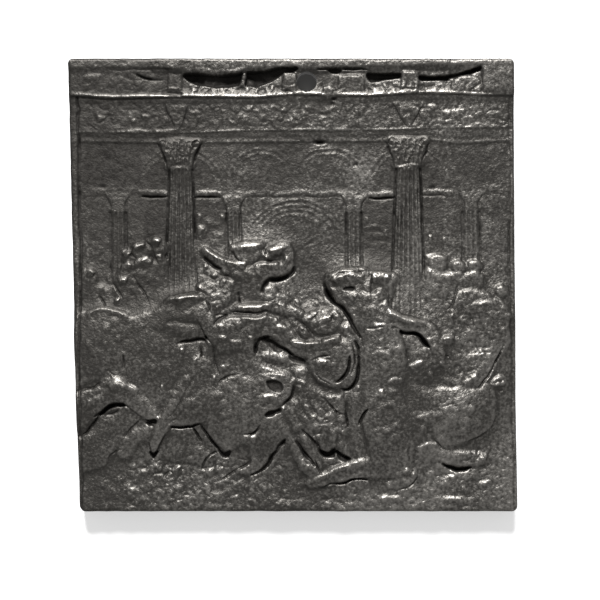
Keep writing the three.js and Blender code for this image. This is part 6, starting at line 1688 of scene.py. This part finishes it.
def set_out(name, mesh, material):
    """Puts a sheet of the stage in the scene, seen by the camera only."""
    mesh.materials.append(material)
    obj = bpy.data.objects.new(name, mesh)
    bpy.context.collection.objects.link(obj)
    obj.visible_diffuse = False
    obj.visible_glossy = False
    obj.visible_shadow = False


set_out("stage", stage_mesh, paper)
print("white paper has", len(nodes), "nodes")

# %% [markdown]
# ## The dark seen through the hole
#
# The wall glows a little, so that it stays white, and would shine through the cord hole. On a real
# wall the plaque keeps the light off the patch behind it, so a small grey sheet lies there as a
# painted shadow.

# %% Shade behind the plaque
left, right, foot, top = -0.027, 0.027, -0.028, 0.0285
corners = ((left, foot), (left, top), (right, top), (right, foot))
shade_mesh = bpy.data.meshes.new("shade")
shade_mesh.from_pydata([(x, GAP - 0.0001, z) for x, z in corners], [], [(3, 2, 1, 0)])
# The grey paper is painted shadow.
painted_shadow_paper = paper.copy()
painted_shadow_paper.name = "shaded_paper"
dull = painted_shadow_paper.node_tree.nodes["Principled BSDF"].inputs
dull["Emission Strength"].default_value = 0.0
dull["Base Color"].default_value = (0.35, 0.35, 0.35, 1)
set_out("shade", shade_mesh, painted_shadow_paper)
print("shade of", round((right - left) * 1000), "by", round((top - foot) * 1000), "mm")

# %% [markdown]
# ## Light and camera
#
# One soft light stands high in front, so the upper edge of every form is bright and the lower edge
# dark, and the plaque throws a short shadow below itself. A dim even sky fills the rest, and a weak
# light from behind shows the back. The camera looks straight at the carving.

# %% Lights
def lamp(name, at, size, watts):
    """A round soft light that faces the middle of the plaque."""
    light = bpy.data.lights.new(name, "AREA")
    light.shape = "DISK"
    light.size = size
    light.energy = watts
    obj = bpy.data.objects.new(name, light)
    bpy.context.collection.objects.link(obj)
    obj.location = at
    direction = -np.array(at) / np.linalg.norm(at)
    turn = math.atan2(-direction[0], direction[1])
    obj.rotation_euler = (math.acos(-direction[2]), 0, turn)


lamp("key", (-0.05, -0.62, 0.70), 0.22, 14.0)
lamp("back_light", (0.3, 0.8, 0.5), 0.5, 5.0)
print("lamps:", [light.name for light in bpy.data.lights])

# %% Sky
SKY = 0.37
world = bpy.data.worlds.new("sky")
bpy.context.scene.world = world
world.use_nodes = True
world.node_tree.nodes["Background"].inputs[0].default_value = (1, 1, 1, 1)
world.node_tree.nodes["Background"].inputs[1].default_value = SKY
bpy.context.scene.view_settings.view_transform = "Standard"
print("sky at", SKY)

# %% Camera
VIEW_WIDTH = 0.0798  # metres of the plaque's plane that the camera takes in
FILM = 36
camera = bpy.data.cameras.new("camera")
camera.lens = 85
distance = VIEW_WIDTH * camera.lens / FILM
eye = bpy.data.objects.new("camera", camera)
bpy.context.collection.objects.link(eye)
eye.rotation_euler = (math.pi / 2, 0, 0)
eye.location = (0.00087, -distance - 0.0025, -0.0021)
bpy.context.scene.camera = eye
print("camera", round(distance, 3), "m away")

# %% [markdown]
# ## Finish
#
# The view layer is brought up to date at the end.

# %% Bring the view layer up to date
bpy.context.view_layer.update()
